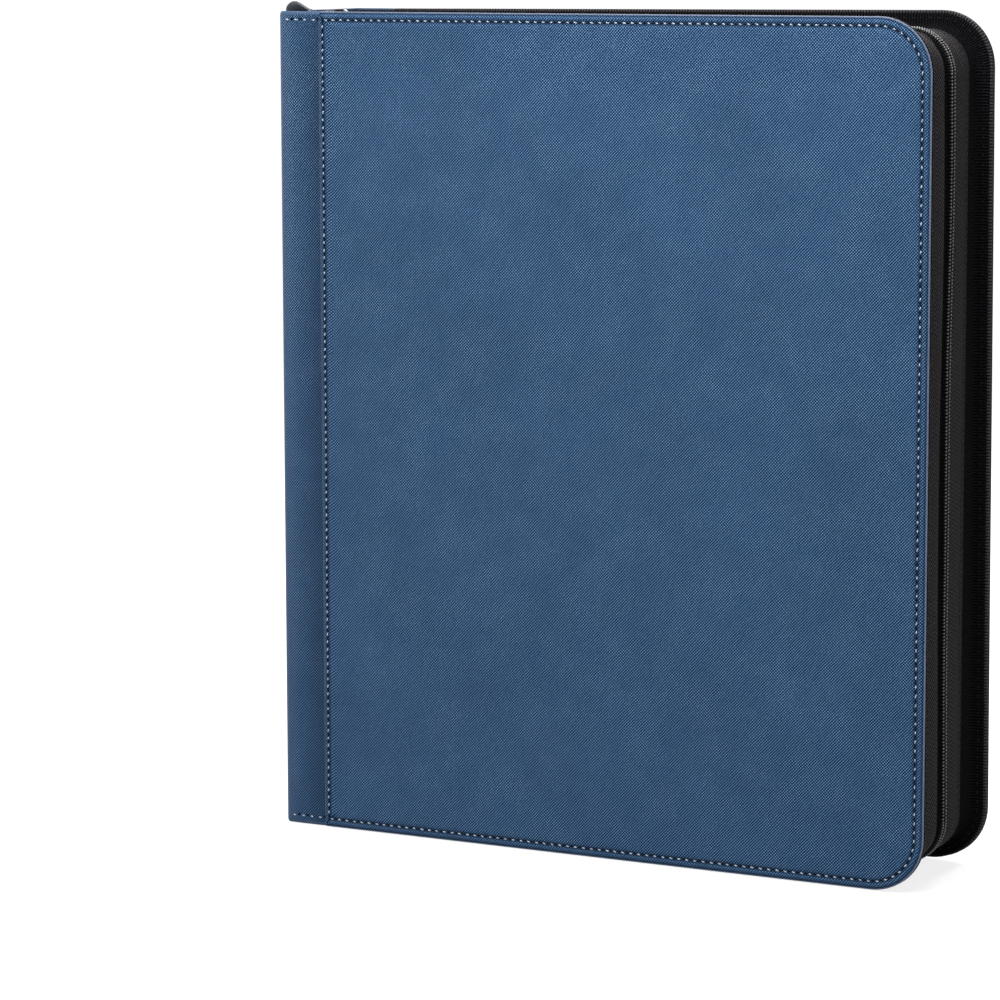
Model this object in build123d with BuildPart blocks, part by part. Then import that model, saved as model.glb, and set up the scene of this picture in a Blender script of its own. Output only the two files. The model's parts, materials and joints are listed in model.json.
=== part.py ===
from build123d import *
import os
from math import cos, radians, sin

os.makedirs("parts", exist_ok=True)

# A zip-round card binder, closed and standing on its lower edge.
# X runs from the spine (-X) to the fore-edge (+X), Y from the front cover (-Y)
# to the back cover (+Y), Z up.  The origin is under the middle of the binder.
# All lengths are in millimetres.

# ---- driving dimensions: the whole binder ----
binder_height = 370.0
binder_width = 315.0
binder_depth = 71.5
corner_radius = 24.0        # fore-edge corners of both covers

# ---- covers: leather skin over a board, with a cloth lining ----
skin_thickness = 1.6
board_thickness = 1.9
lining_thickness = 0.5
skin_rim = 1.2              # skin turned round the edges of the board
edge_bevel = 0.8
panel_fold = 19.0           # spine edge to the folded edge of the cover panel
panel_overlap = 7.0         # how far the panel lies over the hinge flap
wrap_thickness = 0.8        # the leather of the spine wrap and hinge flaps
lining_margin = 0.8         # the lining stops short of the cover's edge

# ---- spine ----
spine_board_thickness = 2.6
hinge_radius = 2.0          # leather rolled over each long corner of the spine
hinge_clearance = 0.3

# ---- webbing walls and zip ----
wall_inset = 7.0            # cover edge to the outer face of the wall
wall_thickness = 1.2
foot_thickness = 1.0        # webbing turned out and sewn to the cover
wall_height = 11.8          # from the lining to the wall's free edge
wall_start = 22.0           # walls on the covers begin this far from the spine
end_wall_reach = 21.5       # walls on the spine ends stop this far from the spine
tape_thickness = 0.6
tape_under_wall = 2.0       # tape sewn over the wall's free edge
tape_gap = 2.0              # between the two tapes
coil_gap = 1.4              # between the two coils
coil_width = 2.6
coil_height = 1.6
zip_clearance = 0.25        # between the slider and what it runs on

# ---- cards, sleeves and pockets ----
card_width = 63.0
card_height = 88.0
card_thickness = 0.35
card_corner = 3.0
card_rise = 1.0             # card above the floor of its slot
sleeve_width = 76.0
sleeve_height = 102.0
sleeve_thickness = 1.5
sleeve_corner = 1.5         # clipped corners
sleeve_wall = 0.4
sleeve_floor = 6.0          # closed edge below the slot
slot_clearance = 3.0        # slot wider than the card
sleeve_clearance = 0.1      # sleeve to the film behind it
front_clearance = 0.2       # sleeve to the clear film in front of it
pocket_film = 0.2
pocket_ease_width = 4.5     # pocket wider than the sleeve
pocket_ease_height = 7.0
column_weld = 3.0           # welded film between pockets
row_weld = 2.5

# ---- leaves ----
film_thickness = 0.6
leaf_gap = 0.4              # between neighbouring leaves
stack_clearance = 1.5       # least gap from the leaves to a cover's lining
leaf_end_clearance = 6.0    # leaf to the walls along the top and bottom edges
leaf_edge_clearance = 5.3   # leaf to the wall along the fore-edge
leaf_corner = 12.0
leaf_margin = 4.0           # last pocket to the page's free edge
gutter_length = 38.0        # root hinge to knee hinge
root_gap = 0.1              # bare fold beside a root hinge
knee_gap = 0.4              # bare fold on each side of a knee hinge
binding_thickness = 1.0
binding_margin = 1.0        # binding strip narrower than the stack of leaves
ridge_height = 0.4          # sewn fold under each leaf's root
ridge_width = 1.6
ridge_clearance = 0.4

# ---- slider and pull ----
slider_length = 12.0
slider_shoulder = 11.2      # width at the end where the chain parts
slider_tail = 8.4           # width at the end where the chain is closed
slider_corner = 1.5
slider_park = 11.3          # spine edge to the middle of the parked slider
top_plate = 1.1
bottom_plate = 1.1
post_width = 0.8            # divider between the two coils
post_length = 3.6
post_setback = 3.4          # slider middle to post middle
bail_length = 8.4
bail_width = 2.4
bail_bar = 0.8              # bar above the eye
bail_round = 2.2
eye_length = 5.2
eye_height = 2.0
link_length = 5.6
link_width = 7.0
link_bar = 1.2              # square bar that the link is stamped from
link_corner = 1.2
link_clearance = 0.5        # between the link and the webbing on the spine's end
tab_reach = 19.6            # link to the start of the tab's curl
tab_curl_radius = 4.0
tab_curl = 75.0             # degrees that the tab's end turns up
tab_stand = 3.9             # flat end of the tab above the curl
tab_width = 8.6
tab_thickness = 2.0
tab_swell = 9.0             # from the neck to the tab's full width
tab_head = 5.3              # radius of the round head
tab_head_lean = 3.2         # head's middle set towards the spine from the link's
tab_over_spine = 0.3        # head clears the spine's end by this much
tab_neck = 4.4
tab_eye = 0.4               # clearance round the link's bar
tab_barrel = 3.4            # diameter of the fold round the link's bar
tab_clearance = 0.2         # between the tab's fold and the slider
tab_rim = 1.3
tab_recess = 0.35
stop_length = 3.0
stop_plate = 0.6
stop_clearance = 0.1

# ---- places worked out from the sizes ----
mid_height = binder_height / 2
half_width = binder_width / 2
half_depth = binder_depth / 2
spine_face = -half_width
cover_thickness = skin_thickness + board_thickness + lining_thickness
cover_inside = half_depth - cover_thickness
hinge_x = spine_face + hinge_radius
hinge_y = half_depth - (skin_thickness - wrap_thickness) - hinge_radius
cover_start = hinge_x + hinge_radius + hinge_clearance
spine_half = hinge_y - hinge_radius - hinge_clearance
spine_inside = spine_face + wrap_thickness + spine_board_thickness + lining_thickness
tape_inset = wall_inset - tape_thickness
coil_inset = tape_inset - coil_height
wall_edge = cover_inside - wall_height
tape_edge = wall_edge + tape_under_wall
ridge_x = spine_inside + binding_thickness
root_x = ridge_x + ridge_height + ridge_clearance
knee_x = root_x + gutter_length
wall_inside = wall_inset + wall_thickness
page_edge = half_width - wall_inside - leaf_edge_clearance
leaf_height = binder_height - 2 * (wall_inside + leaf_end_clearance)
pocket_depth = sleeve_clearance + sleeve_thickness + front_clearance + pocket_film
leaf_thickness = film_thickness + 2 * pocket_depth
leaf_pitch = leaf_thickness + leaf_gap
leaves_per_side = int((cover_inside - stack_clearance) / leaf_pitch)
binding_width = 2 * leaves_per_side * leaf_pitch - binding_margin
sleeve_slot = card_width + slot_clearance
pocket_width = sleeve_width + pocket_ease_width
pocket_height = sleeve_height + pocket_ease_height
column_pitch = pocket_width + column_weld
row_pitch = pocket_height + row_weld
pocket_columns = int((page_edge - knee_x - leaf_margin) / column_pitch)
pocket_rows = int(leaf_height / row_pitch)
grid_width = pocket_columns * column_pitch - column_weld
pocket_grid_x = page_edge - leaf_margin - grid_width / 2
side_names = {-1: "front", 1: "back"}
end_names = {-1: "bottom", 1: "top"}


def save(piece, name):
    """Label a finished piece and write it as one STEP file."""
    piece.part.label = name
    export_step(piece.part, f"parts/{name}.step")


def face_plane(side, distance):
    """Upright plane parallel to the covers, distance from the middle, facing out."""
    origin = (0, side * distance, mid_height)
    return Plane(origin=origin, x_dir=(1, 0, 0), z_dir=(0, side, 0))


def panel_outline(left, right, half_height, radius):
    """Panel with its two fore-edge corners rounded."""
    with BuildSketch() as panel:
        with BuildLine():
            FilletPolyline(
                (left, -half_height),
                (right, -half_height),
                (right, half_height),
                (left, half_height),
                radius=radius,
            )
            Line((left, half_height), (left, -half_height))
        make_face()
    return panel.sketch


def cover_outline(left, inset):
    """Outline of a cover drawn in by inset on its three free edges."""
    return panel_outline(left, half_width - inset, mid_height - inset, corner_radius - inset)


def rail_outline(left, outer_inset, inner_inset):
    """U-shaped strip that follows the three free edges of a cover."""
    with BuildSketch() as rail:
        add(cover_outline(left, outer_inset))
        add(cover_outline(left - inner_inset, inner_inset), mode=Mode.SUBTRACT)
    return rail.sketch


# ---- covers ----
def make_cover_skin(side):
    inner = cover_inside + lining_thickness
    fold_x = spine_face + panel_fold
    rebate = panel_overlap + hinge_clearance
    with BuildPart() as skin:
        with BuildSketch(face_plane(side, inner)):
            add(cover_outline(fold_x, 0))
        extrude(amount=half_depth - inner)
        outer_face = skin.faces().sort_by(Axis.Y)[0 if side < 0 else -1]
        rim_edges = outer_face.edges().sort_by(Axis.X)[1:]
        chamfer(rim_edges, length=edge_bevel)
        with BuildSketch(face_plane(side, inner)):
            add(cover_outline(fold_x - skin_rim, skin_rim))
        extrude(amount=board_thickness, mode=Mode.SUBTRACT)
        with BuildSketch(face_plane(side, inner)):
            with Locations((fold_x + rebate / 2, 0)):
                Rectangle(rebate, binder_height)
        extrude(amount=board_thickness + wrap_thickness, mode=Mode.SUBTRACT)
    save(skin, f"{side_names[side]}_cover_skin")


def make_cover_board(side):
    with BuildPart() as board:
        with BuildSketch(face_plane(side, cover_inside + lining_thickness)):
            add(cover_outline(cover_start, skin_rim))
        extrude(amount=board_thickness)
    save(board, f"{side_names[side]}_cover_board")


def make_cover_lining(side):
    with BuildPart() as lining:
        with BuildSketch(face_plane(side, cover_inside)):
            add(cover_outline(cover_start, lining_margin))
        extrude(amount=lining_thickness)
    save(lining, f"{side_names[side]}_cover_lining")


def make_hinge_flap(side):
    """Leather of the spine wrap where it is glued down under the cover panel."""
    flap_end = spine_face + panel_fold + panel_overlap
    flap_width = flap_end - cover_start
    flap_middle = (cover_start + flap_end) / 2
    inner = cover_inside + lining_thickness
    with BuildPart() as flap:
        with BuildSketch(face_plane(side, inner)):
            with Locations((flap_middle, 0)):
                Rectangle(flap_width, binder_height)
        extrude(amount=board_thickness + wrap_thickness)
        with BuildSketch(face_plane(side, inner)):
            with Locations((flap_middle, 0)):
                Rectangle(flap_width, binder_height - 2 * skin_rim)
        extrude(amount=board_thickness, mode=Mode.SUBTRACT)
    save(flap, f"{side_names[side]}_hinge_flap")


def make_cover_wall(side):
    """Webbing wall: an outward foot on the lining and an upright band."""
    left = spine_face + wall_start
    with BuildPart() as wall:
        with BuildSketch(face_plane(side, cover_inside - foot_thickness)):
            add(rail_outline(left, lining_margin, wall_inside))
        extrude(amount=foot_thickness)
        with BuildSketch(face_plane(side, wall_edge)):
            add(rail_outline(left, wall_inset, wall_inside))
        extrude(amount=wall_height)
    save(wall, f"{side_names[side]}_wall_webbing")


def make_zip_tape(side):
    with BuildPart() as tape:
        with BuildSketch(face_plane(side, tape_gap / 2)):
            add(rail_outline(spine_face + wall_start, tape_inset, wall_inset))
        extrude(amount=tape_edge - tape_gap / 2)
    save(tape, f"{side_names[side]}_zip_tape")


def make_zip_coil(side):
    with BuildPart() as coil:
        with BuildSketch(face_plane(side, coil_gap / 2)):
            add(rail_outline(spine_face + wall_start, coil_inset, tape_inset))
        extrude(amount=coil_width)
    save(coil, f"{side_names[side]}_zip_coil")


for cover_side in (-1, 1):
    make_cover_skin(cover_side)
    make_cover_board(cover_side)
    make_cover_lining(cover_side)
    make_hinge_flap(cover_side)
    make_cover_wall(cover_side)
    make_zip_tape(cover_side)
    make_zip_coil(cover_side)


# ---- spine ----
# The wrap is one leather strip: a flat back, a roll at each long corner on the
# hinge axis, and a rim turned over both ends of the board.
rim_depth = spine_board_thickness
with BuildPart() as spine_skin:
    with BuildSketch(Plane.XY):
        with Locations((spine_face + wrap_thickness / 2, 0)):
            Rectangle(wrap_thickness, 2 * hinge_y)
        with Locations((hinge_x, -hinge_y), (hinge_x, hinge_y)):
            Circle(hinge_radius)
    extrude(amount=binder_height)
    with BuildSketch(Plane.XY, Plane.XY.offset(binder_height - skin_rim)):
        with Locations((spine_face + wrap_thickness + rim_depth / 2, 0)):
            Rectangle(rim_depth, 2 * spine_half)
    extrude(amount=skin_rim)
save(spine_skin, "spine_skin")

with BuildPart() as spine_board:
    with BuildSketch(Plane.XY.offset(skin_rim)):
        with Locations((spine_face + wrap_thickness + spine_board_thickness / 2, 0)):
            Rectangle(spine_board_thickness, 2 * spine_half)
    extrude(amount=binder_height - 2 * skin_rim)
save(spine_board, "spine_board")

with BuildPart() as spine_lining:
    with BuildSketch(Plane.XY.offset(lining_margin)):
        with Locations((spine_inside - lining_thickness / 2, 0)):
            Rectangle(lining_thickness, 2 * spine_half)
    extrude(amount=binder_height - 2 * lining_margin)
save(spine_lining, "spine_lining")

# The binding strip is sewn down the middle of the spine, with one raised fold
# for the root of every leaf.
leaf_bottom = (binder_height - leaf_height) / 2
with BuildPart() as binding_strip:
    with BuildSketch(Plane.XY.offset(leaf_bottom)):
        with Locations((spine_inside + binding_thickness / 2, 0)):
            Rectangle(binding_thickness, binding_width)
        with Locations((ridge_x + ridge_height / 2, 0)):
            with GridLocations(0, leaf_pitch, 1, 2 * leaves_per_side):
                Rectangle(ridge_height, ridge_width)
    extrude(amount=leaf_height)
save(binding_strip, "binding_strip")


def end_level(end, inset):
    """Height of a surface that lies inset from the top (1) or bottom (-1) edge."""
    return mid_height + end * (mid_height - inset)


def end_slab(end, outer_inset, inner_inset):
    """Level plane and thickness of a slab near the top or bottom edge."""
    low = min(end_level(end, outer_inset), end_level(end, inner_inset))
    return Plane.XY.offset(low), inner_inset - outer_inset


def draw_box(x_from, x_to, y_from, y_to):
    """Rectangle between two corners, and its mirror image across the middle."""
    place_x = (x_from + x_to) / 2
    place_y = (y_from + y_to) / 2
    with Locations((place_x, place_y), (place_x, -place_y)):
        Rectangle(x_to - x_from, y_to - y_from)


end_reach = spine_face + end_wall_reach
foot_face = spine_inside + foot_thickness


def make_end_wall(end):
    """Webbing across one end of the spine: a foot on the lining and two side bands."""
    foot_plane, foot_height = end_slab(end, lining_margin, wall_inside)
    band_plane, band_height = end_slab(end, wall_inset, wall_inside)
    with BuildPart() as end_wall:
        with BuildSketch(foot_plane):
            with Locations((spine_inside + foot_thickness / 2, 0)):
                Rectangle(foot_thickness, 2 * spine_half)
        extrude(amount=foot_height)
        with BuildSketch(band_plane):
            draw_box(spine_inside, end_reach, wall_edge, spine_half)
        extrude(amount=band_height)
    save(end_wall, f"{end_names[end]}_end_wall")


for spine_end in (-1, 1):
    make_end_wall(spine_end)

with BuildPart() as end_tapes:
    for spine_end in (-1, 1):
        tape_plane, tape_height = end_slab(spine_end, tape_inset, wall_inset)
        with BuildSketch(tape_plane):
            draw_box(foot_face, end_reach, tape_gap / 2, tape_edge)
        extrude(amount=tape_height)
save(end_tapes, "spine_end_tapes")

stop_end = foot_face + stop_length
with BuildPart() as end_coils:
    for spine_end in (-1, 1):
        coil_plane, coil_depth = end_slab(spine_end, coil_inset, tape_inset)
        coil_start = foot_face if spine_end > 0 else stop_end + hinge_clearance
        with BuildSketch(coil_plane):
            draw_box(coil_start, end_reach, coil_gap / 2, coil_gap / 2 + coil_width)
        extrude(amount=coil_depth)
save(end_coils, "spine_end_coils")

# The stop at the lower end of the chain clips through the gap between the tapes.
stop_half = coil_gap / 2 + coil_width
stop_height = tape_thickness + 2 * stop_plate
with BuildPart() as zip_stop:
    with BuildSketch(Plane.XY.offset(tape_inset - stop_plate)):
        with Locations((foot_face + stop_length / 2, 0)):
            Rectangle(stop_length, 2 * stop_half)
    extrude(amount=stop_height)
    with BuildSketch(Plane.XY.offset(tape_inset)):
        draw_box(foot_face, stop_end, tape_gap / 2 - stop_clearance, stop_half)
    extrude(amount=tape_thickness, mode=Mode.SUBTRACT)
save(zip_stop, "zip_bottom_stop")


# ---- slider, parked at the spine end of the top edge ----
coil_top = binder_height - coil_inset
tape_top = binder_height - tape_inset
tape_bottom = binder_height - wall_inset
slider_x = spine_face + slider_park
plate_level = coil_top + zip_clearance
plate_top = plate_level + top_plate
channel_half = coil_gap / 2 + coil_width + zip_clearance
link_left = foot_face + link_clearance + link_bar / 2
eye_x = link_left + link_length
link_level = plate_top + tab_clearance + tab_barrel / 2


def slider_outline():
    """Plate with broad shoulders on the spine side, tapering to the tail."""
    front = slider_x - slider_length / 2
    back = slider_x + slider_length / 2
    waist = slider_x - slider_length / 6
    with BuildSketch() as plate:
        with BuildLine():
            FilletPolyline(
                (front, -slider_shoulder / 2 + slider_corner / 2),
                (waist, -slider_shoulder / 2),
                (back, -slider_tail / 2),
                (back, slider_tail / 2),
                (waist, slider_shoulder / 2),
                (front, slider_shoulder / 2 - slider_corner / 2),
                radius=slider_corner,
                close=True,
            )
        make_face()
    return plate.sketch


with BuildPart() as slider_body:
    with BuildSketch(Plane.XY.offset(plate_level)):
        add(slider_outline())
    extrude(amount=top_plate)
    chamfer(slider_body.faces().sort_by(Axis.Z)[-1].edges(), length=0.3)
    with BuildSketch(Plane.XY.offset(tape_top + zip_clearance)):
        add(slider_outline())
        with Locations((slider_x, 0)):
            Rectangle(slider_length, 2 * channel_half, mode=Mode.SUBTRACT)
    extrude(amount=plate_level - tape_top - zip_clearance)
    with BuildSketch(Plane.XY.offset(tape_bottom - zip_clearance - bottom_plate)):
        add(slider_outline())
    extrude(amount=bottom_plate)
    with BuildSketch(Plane.XY.offset(tape_bottom - zip_clearance)):
        with Locations((slider_x - post_setback, 0)):
            Polygon(
                (-post_length / 2, 0),
                (0, -post_width / 2),
                (post_length / 2, 0),
                (0, post_width / 2),
            )
    extrude(amount=plate_level - tape_bottom + zip_clearance)
save(slider_body, "slider_body")

bail_top = link_level + eye_height / 2 + bail_bar
with BuildPart() as slider_bail:
    with BuildSketch(Plane.XZ):
        with BuildLine():
            FilletPolyline(
                (eye_x - bail_length / 2, plate_top),
                (eye_x - bail_length / 2, bail_top),
                (eye_x + bail_length / 2, bail_top),
                (eye_x + bail_length / 2, plate_top),
                radius=bail_round,
            )
            Line((eye_x + bail_length / 2, plate_top), (eye_x - bail_length / 2, plate_top))
        make_face()
        with Locations((eye_x, link_level)):
            RectangleRounded(eye_length, eye_height, eye_height / 3, mode=Mode.SUBTRACT)
    extrude(amount=bail_width / 2, both=True)
    chamfer(slider_bail.edges().filter_by(GeomType.CIRCLE).group_by(Axis.Z)[-1], length=0.3)
save(slider_bail, "slider_bail")

# The link lies level, through the bail's eye and through the fold of the tab.
link_middle = (link_left + eye_x) / 2
with BuildPart() as pull_link:
    with BuildSketch(Plane.XY.offset(link_level)):
        with Locations((link_middle, 0)):
            RectangleRounded(link_length + link_bar, link_width + link_bar, link_corner)
            Rectangle(link_length - link_bar, link_width - link_bar, mode=Mode.SUBTRACT)
    extrude(amount=link_bar / 2, both=True)
save(pull_link, "pull_link")

# The tab is a soft strip folded round the link.  It lies level towards the front
# cover, turns up beside it, and its round head leans over the end of the spine.
tab_y = -link_width / 2
curl_y = tab_y - tab_reach
tab_front = foot_face + link_clearance
tab_back = tab_front + tab_width
head_x = link_middle - tab_head_lean
head_level = binder_height + tab_over_spine
neck_front = link_middle - tab_neck / 2
neck_back = link_middle + tab_neck / 2

with BuildPart() as pull_tab:
    with BuildSketch(Plane.YZ.offset(head_x - tab_head)):
        with BuildLine():
            level_run = Line((tab_y, link_level), (curl_y, link_level))
            curl = JernArc(
                start=level_run @ 1,
                tangent=level_run % 1,
                radius=tab_curl_radius,
                arc_size=-tab_curl,
            )
            Line(curl @ 1, curl @ 1 + tab_stand * (curl % 1))
        trace(line_width=tab_thickness)
    extrude(amount=tab_back - head_x + tab_head)
    with BuildSketch(Plane.XZ):
        with Locations((tab_front, link_level - tab_thickness)):
            Rectangle(
                tab_width,
                head_level - link_level + tab_thickness,
                align=(Align.MIN, Align.MIN),
            )
        with BuildSketch(Plane.XZ, mode=Mode.PRIVATE) as head:
            with Locations((head_x, binder_height)):
                Circle(tab_head)
            with Locations((tab_back - tab_head / 3, binder_height)):
                Circle(tab_head / 3)
            make_hull()
            with Locations((head_x, head_level)):
                Rectangle(
                    6 * tab_head,
                    2 * tab_head,
                    align=(Align.CENTER, Align.MIN),
                    mode=Mode.INTERSECT,
                )
        add(head.sketch)
    extrude(amount=binder_depth / 2, mode=Mode.INTERSECT)
    with BuildSketch(Plane.XY.offset(link_level)):
        Polygon(
            (tab_front, tab_y),
            (neck_front, tab_y),
            (neck_front, tab_y - tab_swell / 3),
            (tab_front, tab_y - tab_swell),
            align=None,
        )
        Polygon(
            (tab_back, tab_y),
            (neck_back, tab_y),
            (neck_back, tab_y - tab_swell / 3),
            (tab_back, tab_y - tab_swell),
            align=None,
        )
    extrude(amount=tab_thickness, both=True, mode=Mode.SUBTRACT)
    for face_level, cut in ((tab_thickness / 2, -tab_recess), (-tab_thickness / 2, tab_recess)):
        with BuildSketch(Plane.XY.offset(link_level + face_level)):
            with Locations(((tab_front + tab_back) / 2, (tab_y - tab_swell + curl_y) / 2)):
                RectangleRounded(
                    tab_width - 2 * tab_rim,
                    tab_reach - tab_swell - tab_rim,
                    tab_rim,
                )
        extrude(amount=cut, mode=Mode.SUBTRACT)
    with BuildSketch(Plane.YZ.offset(link_middle)):
        with Locations((tab_y, link_level)):
            Circle(tab_barrel / 2)
    extrude(amount=tab_neck / 2, both=True)
    with BuildSketch(Plane.YZ.offset(link_middle)):
        with Locations((tab_y, link_level)):
            Circle(link_bar / 2 * 2**0.5 + tab_eye / 2)
    extrude(amount=tab_width, both=True, mode=Mode.SUBTRACT)
save(pull_tab, "pull_tab")


# ---- leaves ----
def leaf_offset(order):
    """Distance from the middle of the binder to leaf number order, 1 next to a cover."""
    return (leaves_per_side - order + 0.5) * leaf_pitch


def leaf_number(side, order):
    """Leaves count from 1 at the front cover to the last at the back cover."""
    return order if side < 0 else 2 * leaves_per_side + 1 - order


def make_gutter(side, order):
    """Bare strip of film between the root fold and the knee fold of a leaf."""
    start = root_x + root_gap
    end = knee_x - knee_gap
    with BuildPart() as gutter:
        with BuildSketch(face_plane(side, leaf_offset(order))):
            with Locations(((start + end) / 2, 0)):
                Rectangle(end - start, leaf_height)
        extrude(amount=film_thickness / 2, both=True)
    save(gutter, f"leaf_{leaf_number(side, order):02d}_gutter")


def make_page(side, order):
    """Film with filled pockets; the two middle leaves keep their inner face bare."""
    with BuildPart() as page:
        with BuildSketch(face_plane(side, leaf_offset(order))):
            add(panel_outline(knee_x + knee_gap, page_edge, leaf_height / 2, leaf_corner))
        extrude(amount=film_thickness / 2, both=True)
        with BuildSketch(face_plane(side, leaf_offset(order))):
            with Locations((pocket_grid_x, 0)):
                with GridLocations(column_pitch, row_pitch, pocket_columns, pocket_rows):
                    Rectangle(pocket_width, pocket_height)
        extrude(amount=leaf_thickness / 2, both=order < leaves_per_side)
    save(page, f"leaf_{leaf_number(side, order):02d}_page")


pocket_face = leaf_thickness / 2
sleeve_base = film_thickness / 2 + sleeve_clearance
slot_base = sleeve_base + sleeve_wall
slot_depth = sleeve_thickness - 2 * sleeve_wall


def make_pockets(side):
    """Clear pockets on the inner face of a middle leaf, open at the free-edge side."""
    level = leaf_offset(leaves_per_side)
    depth = pocket_face - film_thickness / 2
    with BuildPart() as pockets:
        with BuildSketch(face_plane(side, level - pocket_face)):
            with Locations((pocket_grid_x, 0)):
                with GridLocations(column_pitch, row_pitch, pocket_columns, pocket_rows):
                    Rectangle(pocket_width, pocket_height)
        extrude(amount=depth)
        with BuildSketch(face_plane(side, level - pocket_face + pocket_film)):
            with Locations((pocket_grid_x + pocket_film, 0)):
                with GridLocations(column_pitch, row_pitch, pocket_columns, pocket_rows):
                    Rectangle(pocket_width, pocket_height - 2 * pocket_film)
        extrude(amount=depth, mode=Mode.SUBTRACT)
    save(pockets, f"leaf_{leaf_number(side, leaves_per_side):02d}_pockets")


def make_sleeves(side):
    """Stiff clear sleeves, each with a slot for its card that is open at the top."""
    level = leaf_offset(leaves_per_side)
    slot_length = sleeve_height - sleeve_floor
    slot_shift = -side * sleeve_floor / 2
    with BuildPart() as sleeves:
        with BuildSketch(face_plane(side, level - sleeve_base - sleeve_thickness)) as sleeve_plan:
            with Locations((pocket_grid_x, 0)):
                with GridLocations(column_pitch, row_pitch, pocket_columns, pocket_rows):
                    Rectangle(sleeve_width, sleeve_height)
            chamfer(sleeve_plan.vertices(), length=sleeve_corner)
        extrude(amount=sleeve_thickness)
        with BuildSketch(face_plane(side, level - slot_base - slot_depth)):
            with Locations((pocket_grid_x, slot_shift)):
                with GridLocations(column_pitch, row_pitch, pocket_columns, pocket_rows):
                    Rectangle(sleeve_slot, slot_length)
        extrude(amount=slot_depth, mode=Mode.SUBTRACT)
    save(sleeves, f"leaf_{leaf_number(side, leaves_per_side):02d}_sleeves")


def make_cards(side):
    level = leaf_offset(leaves_per_side)
    middle = slot_base + slot_depth / 2
    drop = sleeve_height / 2 - sleeve_floor - card_rise - card_height / 2
    with BuildPart() as cards:
        with BuildSketch(face_plane(side, level - middle)):
            with Locations((pocket_grid_x, side * drop)):
                with GridLocations(column_pitch, row_pitch, pocket_columns, pocket_rows):
                    RectangleRounded(card_width, card_height, card_corner)
        extrude(amount=card_thickness / 2, both=True)
    save(cards, f"leaf_{leaf_number(side, leaves_per_side):02d}_cards")


for leaf_side in (-1, 1):
    for leaf_order in range(1, leaves_per_side + 1):
        make_gutter(leaf_side, leaf_order)
        make_page(leaf_side, leaf_order)
    make_pockets(leaf_side)
    make_sleeves(leaf_side)
    make_cards(leaf_side)
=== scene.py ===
import json
import math
import random

import bmesh
import bpy
from mathutils import Matrix, Vector


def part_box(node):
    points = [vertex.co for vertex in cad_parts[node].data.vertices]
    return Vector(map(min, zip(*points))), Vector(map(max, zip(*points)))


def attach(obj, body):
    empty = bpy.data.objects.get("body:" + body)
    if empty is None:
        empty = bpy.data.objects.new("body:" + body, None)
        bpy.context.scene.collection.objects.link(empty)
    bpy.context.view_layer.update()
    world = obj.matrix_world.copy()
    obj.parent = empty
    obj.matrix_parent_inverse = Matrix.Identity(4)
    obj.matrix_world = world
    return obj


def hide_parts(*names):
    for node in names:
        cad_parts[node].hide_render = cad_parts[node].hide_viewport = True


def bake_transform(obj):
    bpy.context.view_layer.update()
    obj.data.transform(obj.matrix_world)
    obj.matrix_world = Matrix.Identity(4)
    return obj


# The looks of a zip-round card binder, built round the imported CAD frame.
# X runs from the spine (-X) to the fore-edge (+X), Y from the front cover (-Y) to
# the back cover (+Y), Z up.  Shapes are worked out in millimetres and written to
# the meshes in metres.

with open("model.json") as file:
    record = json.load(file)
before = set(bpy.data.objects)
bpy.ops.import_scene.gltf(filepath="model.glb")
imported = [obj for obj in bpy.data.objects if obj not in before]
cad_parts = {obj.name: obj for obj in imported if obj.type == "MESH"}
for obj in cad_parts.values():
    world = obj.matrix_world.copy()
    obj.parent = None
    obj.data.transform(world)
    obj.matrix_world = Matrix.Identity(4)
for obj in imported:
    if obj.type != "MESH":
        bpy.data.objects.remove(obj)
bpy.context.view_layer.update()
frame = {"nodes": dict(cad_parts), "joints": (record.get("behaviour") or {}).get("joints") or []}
MM = 0.001
SIDES = {-1: "front", 1: "back"}
ENDS = {-1: "bottom", 1: "top"}
QUARTER = math.pi / 2


def box_mm(node):
    """Lowest and highest corner of a CAD node, in millimetres."""
    low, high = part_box(node)
    return low / MM, high / MM


def joint_mm(name):
    """Place of a joint's axis, in millimetres."""
    joint = next(j for j in frame["joints"] if j["name"] == name)
    return Vector(joint["pos_m"]) / MM


# ---- places read from the frame (back side, so that Y is positive) ----
skin_low, skin_high = box_mm("back_cover_skin")
flap_low, flap_high = box_mm("back_hinge_flap")
wrap_low = box_mm("spine_skin")[0]
spine_board_high = box_mm("spine_board")[1]
lining_low, lining_high = box_mm("back_cover_lining")
spine_lining_high = box_mm("spine_lining")[1]
wall_low = box_mm("back_wall_webbing")[0]
tape_low, tape_high = box_mm("back_zip_tape")
coil_high = box_mm("back_zip_coil")[1]
end_wall_low = box_mm("top_end_wall")[0]
end_tape_low = box_mm("spine_end_tapes")[0]
strip_low, strip_high = box_mm("binding_strip")
hinge = joint_mm("back_cover_hinge")

height = skin_high.z
half_width = skin_high.x
half_depth = skin_high.y
mid_height = height / 2
fold_inset = 2.1
fold_x = skin_low.x + fold_inset
board_face = skin_low.y
wrap_face = flap_high.y
inside_face = lining_low.y
lining_margin = half_width - lining_high.x
wall_edge = wall_low.y
wall_start = wall_low.x
tape_thickness = 0.6
tape_inset = half_width - tape_high.x
wall_inset = tape_inset + tape_thickness
coil_inset = half_width - coil_high.x
tape_gap = tape_low.y
tape_edge = tape_high.y
foot_face = end_tape_low.x
foot_start = end_wall_low.x

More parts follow.
